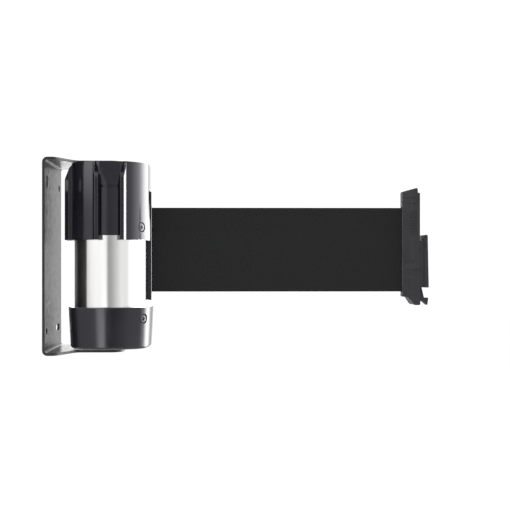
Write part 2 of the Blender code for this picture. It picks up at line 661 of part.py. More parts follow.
def clip_cover():
    """The rear cover, which closes the bar's room and the lever's bay."""
    thick = CLIP_HALF_THICKNESS
    cover = plate(clip_outline(), COVER_FACE_Y + GAP, thick, "XZ")
    boolean(cover, plate(wedge_plan(COVER_FACE_Y, thick), -32 * MM, 44 * MM), "INTERSECT")
    cut(cover, box((clip_x(180.9), 0, -34 * MM), (clip_x(190), 12 * MM, 46 * MM)))
    cut(cover, box((clip_x(174), COVER_FACE_Y - MM, BELT_LOW - 0.6 * MM),
                   (clip_x(174.9), 12 * MM, BELT_HIGH + 0.6 * MM)))
    middle, z = clip_x(178.8), COVER_SCREW_Z
    cut(cover, cylinder((middle, 2 * MM, z), (middle, 8 * MM, z), 1.3 * MM, sides=16))
    cut(cover, cylinder((middle, 4.6 * MM, z), (middle, 8 * MM, z), 2.3 * MM, sides=16))
    finish(cover, "clip_cover", BELT_END_PLASTIC)


def belt_end_fittings():
    """The bar in the belt's loop, the cover's screw and the latch's pin."""
    bar_x = clip_x(179.1)
    finish(cylinder((bar_x, 0.2 * MM, BELT_LOW), (bar_x, 0.2 * MM, BELT_HIGH), 1.2 * MM, sides=16),
           "belt_bar", PLAIN_STEEL)
    middle, z = clip_x(178.8), COVER_SCREW_Z
    screw = cylinder((middle, 4.9 * MM, z), (middle, 5.6 * MM, z), 2 * MM, sides=16)
    join(screw, cylinder((middle, -1.6 * MM, z), (middle, 5.1 * MM, z), 0.8 * MM, sides=12))
    cut(screw, box((middle - 0.25 * MM, 5.3 * MM, z - 1.3 * MM),
                   (middle + 0.25 * MM, 6 * MM, z + 1.3 * MM)))
    finish(screw, "clip_screw", PLAIN_STEEL)
    finish(cylinder((PIVOT_X, -4.1 * MM, PIVOT_Z), (PIVOT_X, 4.1 * MM, PIVOT_Z), 1 * MM, sides=16),
           "latch_pin", PLAIN_STEEL)


def latch_spring():
    """The small coil spring that holds the claw out."""
    turns, per_turn, wire = 4, 12, 0.2 * MM
    start, end, radius = clip_x(179.1), clip_x(181.5), 1.1 * MM
    curve = bpy.data.curves.new("spring", "CURVE")
    curve.dimensions = "3D"
    curve.bevel_depth = wire
    curve.bevel_resolution = 1
    curve.use_fill_caps = True
    spline = curve.splines.new("POLY")
    count = turns * per_turn
    spline.points.add(count)
    for n, point in enumerate(spline.points):
        angle = 2 * math.pi * n / per_turn
        x = start + wire + (end - start - 2 * wire) * n / count
        point.co = (x, radius * math.cos(angle), SPRING_Z + radius * math.sin(angle), 1)
    piece = bpy.data.objects.new("spring", curve)
    bpy.context.scene.collection.objects.link(piece)
    finish(to_mesh(piece), "latch_spring", PLAIN_STEEL, smooth=60)


def latch_lever():
    """The sprung lever whose claw hooks under the receiver that the tongue is in."""
    lever = plate([
        (PIVOT_X - 2.2 * MM, PIVOT_Z + 2.2 * MM, 2 * MM),
        (PIVOT_X - 2.2 * MM, PIVOT_Z - 2.2 * MM, 0.8 * MM),
        (clip_x(183.2), -18 * MM, 0.5 * MM), (clip_x(183.2), -27 * MM, 0.5 * MM),
        (clip_x(186.6), -26.6 * MM, 1.2 * MM),
        (clip_x(189.6), -29.3 * MM, 0.3 * MM), (clip_x(190.2), -24.6 * MM, 0.5 * MM),
        (clip_x(187.6), -24.7 * MM, 0.6 * MM), (clip_x(186.2), -18.6 * MM, 0.6 * MM),
        (PIVOT_X + 2.2 * MM, PIVOT_Z - 2.6 * MM, 0.6 * MM),
        (PIVOT_X + 2.2 * MM, PIVOT_Z + 2.2 * MM, 2 * MM),
    ], -LEVER_HALF_WIDTH, LEVER_HALF_WIDTH, "XZ", steps=3)
    cut(lever, cylinder((PIVOT_X, -5 * MM, PIVOT_Z), (PIVOT_X, 5 * MM, PIVOT_Z), 1.15 * MM, sides=16))
    finish(lever, "latch_lever", BELT_END_PLASTIC)


for build in (wall_bracket, pivot_screws, thrust_washers, head_housing, shell_tube,
              bottom_collar, pivot_inserts, belt_mouth_guide, shell_screws, inner_plates,
              centre_shaft, spring_arbor, power_spring, spool, drag_washer, belt_strip,
              clip_body, clip_cover, belt_end_fittings, latch_spring, latch_lever):
    build()
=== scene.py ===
"""The looks of a wall-mounted retractable belt unit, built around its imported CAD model.

Metres, in the CAD's frame: the bracket's back lies on the wall at X = 0, +X runs along
the belt, away from the wall, and +Z is up. Places come from the CAD nodes' boxes.
"""

import json
import math

import bmesh
import bpy
from mathutils import Matrix, Vector


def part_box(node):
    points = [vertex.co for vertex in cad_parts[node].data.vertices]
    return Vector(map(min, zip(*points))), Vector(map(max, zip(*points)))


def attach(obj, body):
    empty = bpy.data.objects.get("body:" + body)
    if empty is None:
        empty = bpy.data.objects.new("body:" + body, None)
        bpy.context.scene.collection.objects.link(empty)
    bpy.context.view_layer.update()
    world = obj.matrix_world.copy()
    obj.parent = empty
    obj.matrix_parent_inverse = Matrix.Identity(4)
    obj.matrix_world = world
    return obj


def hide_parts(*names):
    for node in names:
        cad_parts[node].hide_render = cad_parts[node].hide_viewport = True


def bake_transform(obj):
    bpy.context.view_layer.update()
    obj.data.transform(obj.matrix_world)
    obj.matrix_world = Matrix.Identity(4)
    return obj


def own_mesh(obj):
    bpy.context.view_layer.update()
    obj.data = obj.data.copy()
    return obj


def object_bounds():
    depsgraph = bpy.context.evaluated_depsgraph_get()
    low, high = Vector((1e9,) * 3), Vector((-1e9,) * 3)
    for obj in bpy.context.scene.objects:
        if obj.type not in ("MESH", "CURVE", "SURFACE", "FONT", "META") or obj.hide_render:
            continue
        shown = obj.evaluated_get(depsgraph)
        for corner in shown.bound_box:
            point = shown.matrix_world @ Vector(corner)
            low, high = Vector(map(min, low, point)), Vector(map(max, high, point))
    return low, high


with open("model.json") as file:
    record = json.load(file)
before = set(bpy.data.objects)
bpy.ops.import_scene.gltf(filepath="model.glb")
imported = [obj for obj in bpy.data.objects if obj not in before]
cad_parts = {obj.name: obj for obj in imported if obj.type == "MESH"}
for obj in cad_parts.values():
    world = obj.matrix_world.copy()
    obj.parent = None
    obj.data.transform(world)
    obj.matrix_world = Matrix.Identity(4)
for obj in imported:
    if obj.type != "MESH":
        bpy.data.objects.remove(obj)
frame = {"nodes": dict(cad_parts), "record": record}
CAD_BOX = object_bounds()
NODES = frame["nodes"]
MM = 0.001

# ---- Places and sizes, from the frame --------------------

TUBE_LOW, TUBE_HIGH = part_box("shell_tube")
AXIS_X = (TUBE_LOW.x + TUBE_HIGH.x) / 2  # the cassette's axis
TUBE_RADIUS = (TUBE_HIGH.x - TUBE_LOW.x) / 2
HEAD_LOW, HEAD_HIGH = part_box("head_housing")
COLLAR_LOW, COLLAR_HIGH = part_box("bottom_collar")
BRACKET_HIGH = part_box("wall_bracket")[1]
BELT_LOW, BELT_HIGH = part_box("belt_strip")
CLIP_LOW, CLIP_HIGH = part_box("clip_body")
BAR_LOW, BAR_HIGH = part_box("belt_bar")
GUIDE_LOW, GUIDE_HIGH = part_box("belt_mouth_guide")
ROLL_LOW, ROLL_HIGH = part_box("belt_roll")
LEVER_LOW, LEVER_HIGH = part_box("latch_lever")

HEAD_RADIUS = HEAD_HIGH.x - AXIS_X
HEAD_TOP = HEAD_HIGH.z + 0.75 * MM
RAIL_FACE = next(m for m in frame["record"]["mounts"] if m["name"] == "front_receiver_rail")
RAIL_WAY = Vector(RAIL_FACE["axis"])
HEAD_TURN = math.atan2(RAIL_WAY.x, -RAIL_WAY.y)  # the head sits slightly round on the tube
RECEIVER_REACH = (Vector(RAIL_FACE["pos_m"]) - Vector((AXIS_X, 0, 0))).dot(RAIL_WAY)
RECEIVER_HALF = 9.4 * MM  # half a receiver's width
SLOT_HALF = 6.2 * MM  # half its slot's width between the rails,
CHANNEL_HALF = 8.25 * MM  # and behind them
RAIL = 1.3 * MM
CHANNEL_DEPTH = 2.65 * MM
FLOOR_RADIUS = RECEIVER_REACH - RAIL - CHANNEL_DEPTH
SLOT_BOTTOM = 12 * MM
PANEL_TOP = 40.8 * MM  # the springy panel in each slot,
GAP_DEPTH = 0.72 * MM  # and the depth of the gap round it
LEAD_IN = 46.4 * MM  # where a slot starts to open upwards
HEAD_SCREWS = math.radians(40.3)  # the shell's screws, from the slot's middle
COLLAR_SCREWS = math.radians(45)
COLLAR_HALF = 25.3 * MM  # half the collar's width, at its top
COLLAR_CORNER = 27.8 * MM  # how far its corners stand out by the screws
SCREW_BORE = 1.7 * MM
PIVOT_BORE = 4.8 * MM
FLANGE_HALF = 7.9 * MM  # half the width of the mouth's frame in the tube


def middle(node):
    """The middle of a CAD node's box."""
    low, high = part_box(node)
    return (low + high) / 2


# ---- Mesh tools --------------------

def placed(name, data):
    """A new object in the scene."""
    made = bpy.data.objects.new(name, data)
    bpy.context.scene.collection.objects.link(made)
    return made


def new_object(name, work):
    """An object with the mesh in work, its normals facing out."""
    bmesh.ops.remove_doubles(work, verts=work.verts, dist=1e-7)
    bmesh.ops.recalc_face_normals(work, faces=work.faces)
    mesh = bpy.data.meshes.new(name)
    work.to_mesh(mesh)
    work.free()
    return placed(name, mesh)


def rounded(corners, step=math.radians(9)):
    """The points of a closed outline whose corners, (u, v, radius), are rounded off."""
    points = []
    count = len(corners)
    for n, (u, v, radius) in enumerate(corners):
        here = Vector((u, v))
        if radius <= 0:
            points.append(here)
            continue
        before = (Vector(corners[n - 1][:2]) - here).normalized()
        after = (Vector(corners[(n + 1) % count][:2]) - here).normalized()
        half = before.angle(after) / 2
        centre = here + (before + after).normalized() * radius / math.sin(half)
        first = here + before * radius / math.tan(half) - centre
        last = here + after * radius / math.tan(half) - centre
        sweep = first.angle_signed(last)
        steps = max(3, math.ceil(abs(sweep) / step))
        for k in range(steps + 1):
            points.append(centre + Matrix.Rotation(-sweep * k / steps, 2) @ first)
    return points


def walls_between(work, a, b):
    """Faces that join two rings with the same number of points."""
    count = len(a)
    for n in range(count):
        m = (n + 1) % count
        work.faces.new((a[n], a[m], b[m], b[n]))


def skin(work, rings):
    """A closed skin over rings of points, with a flat face at either end."""
    for a, b in zip(rings, rings[1:]):
        walls_between(work, a, b)
    work.faces.new(rings[0])
    work.faces.new(rings[-1])


def prism(points, low, high, plane="XY", rims=(0, 0), steps=3):
    """A flat outline made thick across its plane, its low and high rims rounded off."""
    across = {"XY": 2, "XZ": 1, "YZ": 0}[plane]
    work = bmesh.new()
    rings = []
    for level in (low, high):
        ring = []
        for u, v in points:
            place = [u, v]
            place.insert(across, level)
            ring.append(work.verts.new(place))
        rings.append(ring)
    for ring in rings:
        work.faces.new(ring)
    walls_between(work, *rings)
    for rim, level in zip(rims, (low, high)):
        if rim:
            edges = [e for e in work.edges
                     if all(abs(v.co[across] - level) < 1e-7 for v in e.verts)]
            bmesh.ops.bevel(work, geom=edges, offset=rim, segments=steps, profile=0.5,
                            affect="EDGES", clamp_overlap=True)
    return new_object("prism", work)


def block(low, high):
    """A box between its lowest and its highest corner."""
    (left, front, bottom), (right, back, top) = low, high
    return prism([(left, front), (right, front), (right, back), (left, back)], bottom, top)


def lathe(profile, place, way=(0, 0, 1), sides=48):
    """Turns a profile of (radius, height), closed or from axis to axis, round way."""
    work = bmesh.new()
    line = [work.verts.new((r, 0, z)) for r, z in profile]
    edges = [work.edges.new(pair) for pair in zip(line, line[1:])]
    bmesh.ops.spin(work, geom=line + edges, axis=(0, 0, 1), cent=(0, 0, 0),
                   angle=2 * math.pi, steps=sides, use_merge=True)
    turn = Vector(way).to_track_quat("Z", "Y").to_matrix().to_4x4()
    bmesh.ops.transform(work, matrix=Matrix.Translation(place) @ turn, verts=work.verts)
    return new_object("lathe", work)


def rod(start, end, radius, end_radius=None, sides=48):
    """A round bar or, with another radius at its end, a cone."""
    start, end = Vector(start), Vector(end)
    length = (end - start).length
    last = radius if end_radius is None else end_radius
    return lathe([(0, 0), (radius, 0), (last, length), (0, length)], start, end - start, sides)


def ribbon(stations, across, section):
    """A strip swept through stations, (place, normal, half width), with round edges.

    section gives the points round the strip as (depth along the normal, side, inset from
    that side's edge).
    """
    work = bmesh.new()
    rings = []
    for place, normal, half in stations:
        rings.append([work.verts.new(place + normal * depth + across * side * max(half - inset, 0))
                      for depth, side, inset in section])
    skin(work, rings)
    return new_object("ribbon", work)


def bake(piece):
    """Puts what the piece's modifiers make into its mesh."""
    bpy.context.view_layer.update()
    ready = piece.evaluated_get(bpy.context.evaluated_depsgraph_get())
    mesh = bpy.data.meshes.new_from_object(ready)
    piece.modifiers.clear()
    piece.data = mesh


def combine(piece, others, operation):
    """Changes a piece by others, one after another, and takes those away."""
    for other in others:
        step = piece.modifiers.new("step", "BOOLEAN")
        step.operation = operation
        step.object = other
    bake(piece)
    for other in others:
        bpy.data.objects.remove(other)
    return piece


def cut(piece, *others):
    return combine(piece, others, "DIFFERENCE")


def join(piece, *others):
    return combine(piece, others, "UNION")


def common(piece, *others):
    return combine(piece, others, "INTERSECT")


def moved(piece, matrix):
    piece.data.transform(matrix)
    return piece


def polar(radius, angle):
    return radius * math.cos(angle), radius * math.sin(angle)


def about_axis(angle, radius, z):
    """A point at an angle round the cassette's axis, counted from the belt's way."""
    u, v = polar(radius, angle)
    return Vector((AXIS_X + u, v, z))


def axis_rod(low, high, radius, end_radius=None, sides=48):
    """A rod along the cassette's axis, from one height to another."""
    return rod((AXIS_X, 0, low), (AXIS_X, 0, high), radius, end_radius, sides)


def turn_about_axis(angle):
    shift = Matrix.Translation((AXIS_X, 0, 0))
    return shift @ Matrix.Rotation(angle, 4, "Z") @ shift.inverted()


def smooth(piece, angle):
    """Smooth shading, with creases where faces meet at more than an angle in degrees."""
    piece.data.shade_smooth()
    piece.data.set_sharp_from_angle(angle=math.radians(angle))


def soft_normals(piece, angle=32):
    """Smooth shading with sharp creases, and flat faces that stay flat beside roundings."""
    smooth(piece, angle)
    weigh = piece.modifiers.new("weigh", "WEIGHTED_NORMAL")
    weigh.keep_sharp = True
    weigh.weight = 100


# ---- Materials --------------------

class Look:
    """A material under construction: a Principled shader and the nodes that feed it."""

    def __init__(self, name, colour, roughness, metallic=0.0, **fixed):
        self.material = bpy.data.materials.new(name)
        self.material.use_nodes = True
        self.tree = self.material.node_tree
        self.shader = self.tree.nodes["Principled BSDF"]
        self.shader.inputs["Base Color"].default_value = (*colour, 1)
        self.shader.inputs["Roughness"].default_value = roughness
        self.shader.inputs["Metallic"].default_value = metallic
        for socket, value in fixed.items():
            self.shader.inputs[socket.replace("_", " ")].default_value = value
        self.places = self.tree.nodes.new("ShaderNodeTexCoord").outputs["Object"]

    def node(self, kind, inputs):
        """A new node, each of its inputs with a value or with the output that feeds it."""
        made = self.tree.nodes.new(kind)
        for name, value in inputs.items():
            if isinstance(value, bpy.types.NodeSocket):
                self.tree.links.new(value, made.inputs[name])
            else:
                made.inputs[name].default_value = value
        return made

    def feed(self, source, socket):
        self.tree.links.new(source, self.shader.inputs[socket])
        return self

    def stretched(self, scale, turn=(0, 0, 0)):
        inputs = {"Vector": self.places, "Scale": scale, "Rotation": turn}
        return self.node("ShaderNodeMapping", inputs).outputs["Vector"]

    def noise(self, scale, detail, where=None):
        inputs = {"Vector": where or self.places, "Scale": scale, "Detail": detail}
        return self.node("ShaderNodeTexNoise", inputs).outputs["Fac"]

    def wave(self, scale, where, distortion):
        inputs = {"Vector": where, "Scale": scale, "Distortion": distortion, "Detail Scale": 2.0}
        return self.node("ShaderNodeTexWave", inputs).outputs["Fac"]

    def remap(self, value, low, high, start=0.3, stop=0.7):
        inputs = {"Value": value, "From Min": start, "From Max": stop, "To Min": low, "To Max": high}
        return self.node("ShaderNodeMapRange", inputs).outputs["Result"]

    def maths(self, operation, a, b):
        made = self.node("ShaderNodeMath", {0: a, 1: b})
        made.operation = operation
        return made.outputs["Value"]

    def colours(self, value, dark, light, start=0.3, stop=0.7):
        ramp = self.node("ShaderNodeValToRGB", {"Fac": value})
        for element, place, colour in zip(ramp.color_ramp.elements, (start, stop), (dark, light)):
            element.position = place
            element.color = (*colour, 1)
        return self.feed(ramp.outputs["Color"], "Base Color")

    def roughness(self, value, low, high, start=0.3, stop=0.7):
        return self.feed(self.remap(value, low, high, start, stop), "Roughness")

    def bump(self, height, depth, strength):
        """Relief, stacked on any that is there already."""
        inputs = {"Height": height, "Distance": depth, "Strength": strength}
        for earlier in self.shader.inputs["Normal"].links:
            inputs["Normal"] = earlier.from_socket
        return self.feed(self.node("ShaderNodeBump", inputs).outputs["Normal"], "Normal")


def coated_steel():
    look = Look("coated_steel", (0.024, 0.0225, 0.0215), 0.34, Specular_IOR_Level=0.2,
                Specular_Tint=(1, 0.965, 0.955, 1))
    look.colours(look.noise(90, 5), (0.020, 0.0185, 0.0175), (0.028, 0.0265, 0.0255))
    look.roughness(look.noise(420, 4), 0.27, 0.4)
    return look.bump(look.noise(1500, 3), 0.012 * MM, 0.5).bump(look.noise(260, 2), 0.02 * MM, 0.25)


def gloss_black():
    look = Look("gloss_black", (0.012, 0.012, 0.014), 0.15, Specular_Tint=(0.97, 0.965, 1, 1))
    look.colours(look.noise(45, 4), (0.010, 0.0095, 0.013), (0.016, 0.0155, 0.021))
    scuffs = look.noise(1, 6, look.stretched((260, 260, 45), (0.2, 0.1, 0.5)))
    look.roughness(scuffs, 0.1, 0.2, 0.35, 0.75)
    return look.bump(look.noise(650, 2), 0.004 * MM, 0.35)


def matte_black():
    look = Look("matte_black", (0.028, 0.027, 0.031), 0.5, Specular_IOR_Level=0.16)
    look.colours(look.noise(140, 5), (0.024, 0.0232, 0.027), (0.031, 0.030, 0.0345))
    look.roughness(look.noise(900, 3), 0.42, 0.58)
    return look.bump(look.noise(4200, 3), 0.02 * MM, 0.7)


def polished_tube():
    look = Look("polished_tube", (0.88, 0.875, 0.87), 0.12, 1.0)
    drawn = look.noise(1, 5, look.stretched((1500, 1500, 14)))
    broad = look.noise(1, 3, look.stretched((220, 220, 6)))
    look.colours(broad, (0.84, 0.835, 0.83), (0.92, 0.915, 0.91))
    look.roughness(drawn, 0.09, 0.19)
    return look.bump(drawn, 0.0015 * MM, 0.5)


def plain_steel():
    look = Look("plain_steel", (0.55, 0.55, 0.56), 0.3, 1.0)
    look.colours(look.noise(260, 5), (0.46, 0.46, 0.48), (0.62, 0.62, 0.62))
    look.roughness(look.noise(800, 4), 0.22, 0.42)
    return look.bump(look.noise(3000, 2), 0.005 * MM, 0.5)


def black_screw():
    look = Look("black_screw", (0.035, 0.035, 0.037), 0.34, 0.6)
    look.colours(look.noise(700, 4), (0.025, 0.025, 0.027), (0.06, 0.06, 0.062))
    look.roughness(look.noise(1500, 3), 0.26, 0.44)
    return look.bump(look.noise(4000, 2), 0.006 * MM, 0.5)


def brass():
    look = Look("brass", (0.72, 0.55, 0.25), 0.3, 1.0)
    look.colours(look.noise(300, 4), (0.6, 0.44, 0.19), (0.76, 0.6, 0.3))
    turned = look.noise(1, 3, look.stretched((60, 60, 5000)))
    look.roughness(turned, 0.22, 0.4)
    return look.bump(turned, 0.004 * MM, 0.5)


def grey_plastic():
    look = Look("grey_plastic", (0.25, 0.25, 0.26), 0.5)
    look.colours(look.noise(120, 4), (0.22, 0.22, 0.23), (0.28, 0.28, 0.29))
    look.roughness(look.noise(700, 3), 0.42, 0.58)
    return look.bump(look.noise(2500, 2), 0.01 * MM, 0.5)


def felt():
    look = Look("felt", (0.35, 0.33, 0.3), 0.95, Sheen_Weight=0.4)
    fibres = look.noise(1, 6, look.stretched((2200, 900, 900), (0.4, 0.8, 0.3)))
    look.colours(fibres, (0.27, 0.25, 0.23), (0.42, 0.4, 0.37))
    return look.bump(fibres, 0.15 * MM, 0.9)


TWILL_PITCH = 0.92 * MM
TWILL_ANGLE = math.radians(27)


def webbing():
    """Polyester twill: slanting ribs of fine yarns, and a plain selvedge at each edge. The colour is
    painted darker in the valleys between the ribs, as painted shade.
    """
    look = Look("webbing", (0.019, 0.02, 0.019), 0.85, Specular_IOR_Level=0.15,
                Sheen_Weight=0.05, Sheen_Roughness=0.4)
    ribs_at = look.stretched((1, 1, 1), (0, math.pi / 2 - TWILL_ANGLE, 0))
    waves = 2 * math.pi / 20  # a Wave texture has 20 / (2 pi) bands per unit at scale 1
    ribs = look.wave(waves / TWILL_PITCH, ribs_at, 0.25)
    yarns_at = look.stretched((1, 1, 1), (0, -TWILL_ANGLE, 0))
    yarns = look.wave(waves / (0.36 * MM), yarns_at, 0.6)
    weave = look.maths("MULTIPLY", ribs, look.remap(yarns, 0.6, 1.0, 0.0, 1.0))
    fuzz = look.noise(6000, 3)
    weave_shade_and_fuzz = look.maths("ADD", weave, look.remap(fuzz, -0.18, 0.18))
    # painted shade: the twill's valleys are coloured darker than its ribs, and the fine fuzz noise adds
    # random tone
    look.colours(weave_shade_and_fuzz, (0.0075, 0.0079, 0.0077), (0.0150, 0.0156, 0.0150), 0.1, 0.95)
    return look.bump(weave, 0.09 * MM, 0.8).bump(fuzz, 0.03 * MM, 0.5)


LOOKS = {make.__name__: make().material
         for make in (coated_steel, gloss_black, matte_black, polished_tube, plain_steel,
                      black_screw, brass, grey_plastic, felt, webbing)}


def dress_cad_nodes():
    """Gives every CAD node the procedural material of its slot in the record."""
    for part in frame["record"]["subparts"]:
        node = NODES[part["node"]]
        node.data.materials.clear()
        node.data.materials.append(LOOKS[part["material_slot"]])
        smooth(node, 30)


def stand_for(piece, name, slot, body, *nodes):
    """Names a finished piece, gives it its material, and puts it in its nodes' place."""
    piece.name = name
    piece.data.name = name
    piece.data.materials.clear()
    piece.data.materials.append(LOOKS[slot])
    if body:
        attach(piece, body)
    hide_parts(*nodes)


# ---- The bracket --------------------

STEEL = 1.5 * MM
STEEL_EDGE = 0.25 * MM
ARM_END = 8 * MM  # the radius of the arms' round ends


def arm_half_width(x):
    """Half the strip's width at a distance from the wall, where the arms narrow."""
    wide, narrow = BRACKET_HIGH.y, ARM_END
    shoulder, neck = 7.1 * MM, 17 * MM

    def straight(at):
        share = min(max((at - shoulder) / (neck - shoulder), 0), 1)
        return wide + (narrow - wide) * share

    tip_middle = BRACKET_HIGH.x - narrow
    if x > tip_middle:
        return math.sqrt(max(narrow ** 2 - (x - tip_middle) ** 2, 0))
    spread = [straight(x + k * 0.5 * MM) for k in range(-3, 4)]
    return sum(spread) / len(spread)


def bracket_stations():
    """Places along the middle of the bent strip, from the lower arm's tip to the upper's."""
    bend = 2.25 * MM  # the middle line's radius in each bend
    line_z = BRACKET_HIGH.z - STEEL / 2
    line_x = STEEL / 2
    tip_middle = BRACKET_HIGH.x - ARM_END
    arm = []
    for n in range(13):  # round the tip, closer together towards its end
        angle = math.pi / 2 * n / 12
        arm.append(tip_middle + ARM_END * math.cos(angle) - 0.01 * MM * (n == 0))
    x = tip_middle
    while x > line_x + bend + 0.6 * MM:
        x -= 0.6 * MM if x < 21 * MM else 2.5 * MM
        arm.append(max(x, line_x + bend))
    lower = [(Vector((x, 0, -line_z)), Vector((0, 0, -1))) for x in arm]
    for n in range(1, 9):
        angle = math.pi / 2 * n / 9
        away = Vector((-math.sin(angle), 0, -math.cos(angle)))
        centre = Vector((line_x + bend, 0, -line_z + bend))
        lower.append((centre + away * bend, away))
    plate = [(Vector((line_x, 0, z)), Vector((-1, 0, 0)))
             for z in (-line_z + bend, -line_z / 3, line_z / 3, line_z - bend)]
    upper = [(Vector((p.x, 0, -p.z)), Vector((n.x, 0, -n.z))) for p, n in reversed(lower)]
    return [(place, normal, arm_half_width(place.x)) for place, normal in lower + plate + upper]


def strip_section():
    """The outline round the bracket's strip with its rounded edges, for ribbon."""
    steps = 3
    points = []
    for side, top in ((1, 1), (-1, 1), (-1, -1), (1, -1)):
        for k in range(steps + 1):
            angle = math.pi / 2 * k / steps
            if side * top < 0:
                angle = math.pi / 2 - angle
            depth = top * (STEEL / 2 - STEEL_EDGE + STEEL_EDGE * math.sin(angle))
            points.append((depth, side, STEEL_EDGE - STEEL_EDGE * math.cos(angle)))
    return points


def bracket():
    """The bent steel strip: a plate on the wall with slots, and an arm at either end."""
    strip = ribbon(bracket_stations(), Vector((0, 1, 0)), strip_section())
    cutters = []
    corner = 1.95 * MM
    for y, z, half_y, half_z in ((-18, 43, 2, 3.75), (18, 42.5, 2, 2),
                                 (-19, -43, 2, 2), (14, -43.4, 5.5, 2)):
        slot = [((y + side * half_y) * MM, (z + end * half_z) * MM, corner)
                for side, end in ((-1, -1), (1, -1), (1, 1), (-1, 1))]
        cutters.append(prism(rounded(slot), -MM, STEEL + MM, "YZ"))
    inside = BRACKET_HIGH.z - STEEL
    bore, sink = 2.8 * MM, 4.2 * MM
    for end in (1, -1):
        cutters.append(axis_rod(end * (inside - MM), end * (inside + 3 * MM), bore))
        cutters.append(axis_rod(end * (inside + 0.3 * MM), end * (inside + 1.7 * MM), bore, sink))
    cut(strip, *cutters)
    soft_normals(strip)
    stand_for(strip, "bracket_strip", "coated_steel", "bracket", "wall_bracket")


def pivot_screws():
    """Countersunk screws with a hexagon socket, flush in the arms."""
    for name, end in (("upper_pivot_screw", 1), ("lower_pivot_screw", -1)):
        low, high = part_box(name)
        top = max(abs(low.z), abs(high.z))
        tip = min(abs(low.z), abs(high.z))
        shank, head, rim = 2.5 * MM, high.x - AXIS_X, 0.15 * MM
        profile = [(0, tip), (shank - 0.5 * MM, tip), (shank, tip + 0.5 * MM), (shank, top - 1.1 * MM),
                   (head, top - rim), (head - rim, top), (0, top)]
        screw = lathe(profile, (AXIS_X, 0, 0), (0, 0, end), 64)
        hexagon = [about_axis(math.pi / 3 * n, 1.35 * MM, 0).xy for n in range(6)]
        cut(screw, prism(hexagon, *sorted((end * (top - 0.9 * MM), end * (top + MM)))))
        soft_normals(screw)
        stand_for(screw, f"{name}_hex", "plain_steel", "bracket", name)


# ---- The cassette's shell --------------------

def ear_corners(slotted):
    """One receiver's outline round the axis, facing +u, with or without its T slot.

    Its outer corners are cut off, and the slot's floor is the round wall itself.
    """
    reach, half = RECEIVER_REACH, RECEIVER_HALF
    foot = math.sqrt(HEAD_RADIUS ** 2 - half ** 2)
    lip, crown = 0.3 * MM, 0.1 * MM
    front_half = half - 1.15 * MM
    side_end = reach - 2.4 * MM
    corners = [(foot, -half, 0.5 * MM), (side_end, -half, 0.7 * MM),
               (reach - 1.5 * crown, -front_half, 0.6 * MM)]
    if slotted:
        corners += [(reach - crown, -SLOT_HALF, lip), (reach - RAIL, -SLOT_HALF, lip / 2),
                    (reach - RAIL, -CHANNEL_HALF, lip)]
        edge = math.asin(CHANNEL_HALF / FLOOR_RADIUS)
        for k in range(17):
            angle = edge * (k / 8 - 1)
            corners.append((*polar(FLOOR_RADIUS, angle), 0))
        corners += [(reach - RAIL, CHANNEL_HALF, lip), (reach - RAIL, SLOT_HALF, lip / 2),
                    (reach - crown, SLOT_HALF, lip)]
    return corners + [(reach - 1.5 * crown, front_half, 0.6 * MM), (side_end, half, 0.7 * MM),
                      (foot, half, 0.5 * MM)]


def head_outline(slotted):
    """The head's plan: round, with three receivers standing out of it."""
    half_span = math.asin(RECEIVER_HALF / HEAD_RADIUS)
    corners = []
    for n, facing in enumerate((90, 180, 270)):
        facing = math.radians(facing)
        for u, v, radius in ear_corners(slotted):
            turn = Matrix.Rotation(facing, 2) @ Vector((u, v))
            corners.append((turn.x, turn.y, radius))
        arc_from = facing + half_span
        arc_to = facing + math.pi / 2 - half_span if n < 2 else facing + math.pi - half_span
        steps = round((arc_to - arc_from) / math.radians(3))
        for k in range(1, steps):
            angle = arc_from + (arc_to - arc_from) * k / steps
            corners.append((*polar(HEAD_RADIUS, angle), 0))
    return [(AXIS_X + p.x, p.y) for p in rounded(corners)]


def receiver_cutters():
    """What one receiver leaves open, facing +X, with the cassette's axis at the origin."""
    far, back = RECEIVER_REACH + 3 * MM, 21.5 * MM
    above = HEAD_TOP + 2 * MM
    half = RECEIVER_HALF + 2 * MM
    # the receiver's top slopes back to the round wall
    slope = prism(rounded([(far, 37.2 * MM, 0), (RECEIVER_REACH, 44.7 * MM, 0),
                           (24 * MM, 52.2 * MM, 1.5 * MM), (back, HEAD_TOP + 0.02 * MM, 0),
                           (back, above, 0), (far, above, 0)]), -half, half, "XZ")
    cut(slope, rod((0, 0, 30 * MM), (0, 0, above + MM), HEAD_RADIUS + 0.01 * MM, sides=120))
    # a gap on three sides of the slot's floor leaves it a springy panel
    deep, near = FLOOR_RADIUS - 2.5 * MM, FLOOR_RADIUS + 0.6 * MM
    gap_foot = SLOT_BOTTOM + 0.04 * MM
    gap = join(block((deep, -6.2 * MM, gap_foot), (near, -4.9 * MM, PANEL_TOP)),
               block((deep, 5.2 * MM, gap_foot), (near, 6.2 * MM, PANEL_TOP)),
               block((deep, -6.15 * MM, PANEL_TOP - 1.3 * MM), (near, 6.15 * MM, PANEL_TOP + 0.05 * MM)))
    cut(gap, rod((0, 0, 0), (0, 0, HEAD_TOP), FLOOR_RADIUS - GAP_DEPTH, sides=96))
    lead_in = prism([(FLOOR_RADIUS + 0.05 * MM, LEAD_IN), (near, LEAD_IN), (near, HEAD_TOP + MM),
                     (FLOOR_RADIUS - 1.6 * MM, HEAD_TOP + MM)], -5.5 * MM, 5.5 * MM, "XZ")
    # under the slot the receiver is open down to its foot
    notch = block((TUBE_RADIUS - 2 * MM, -SLOT_HALF + 0.05 * MM, HEAD_LOW.z - MM),
                  (RECEIVER_REACH + 2 * MM, SLOT_HALF - 0.05 * MM, SLOT_BOTTOM + 0.1 * MM))
    return slope, gap, lead_in, notch


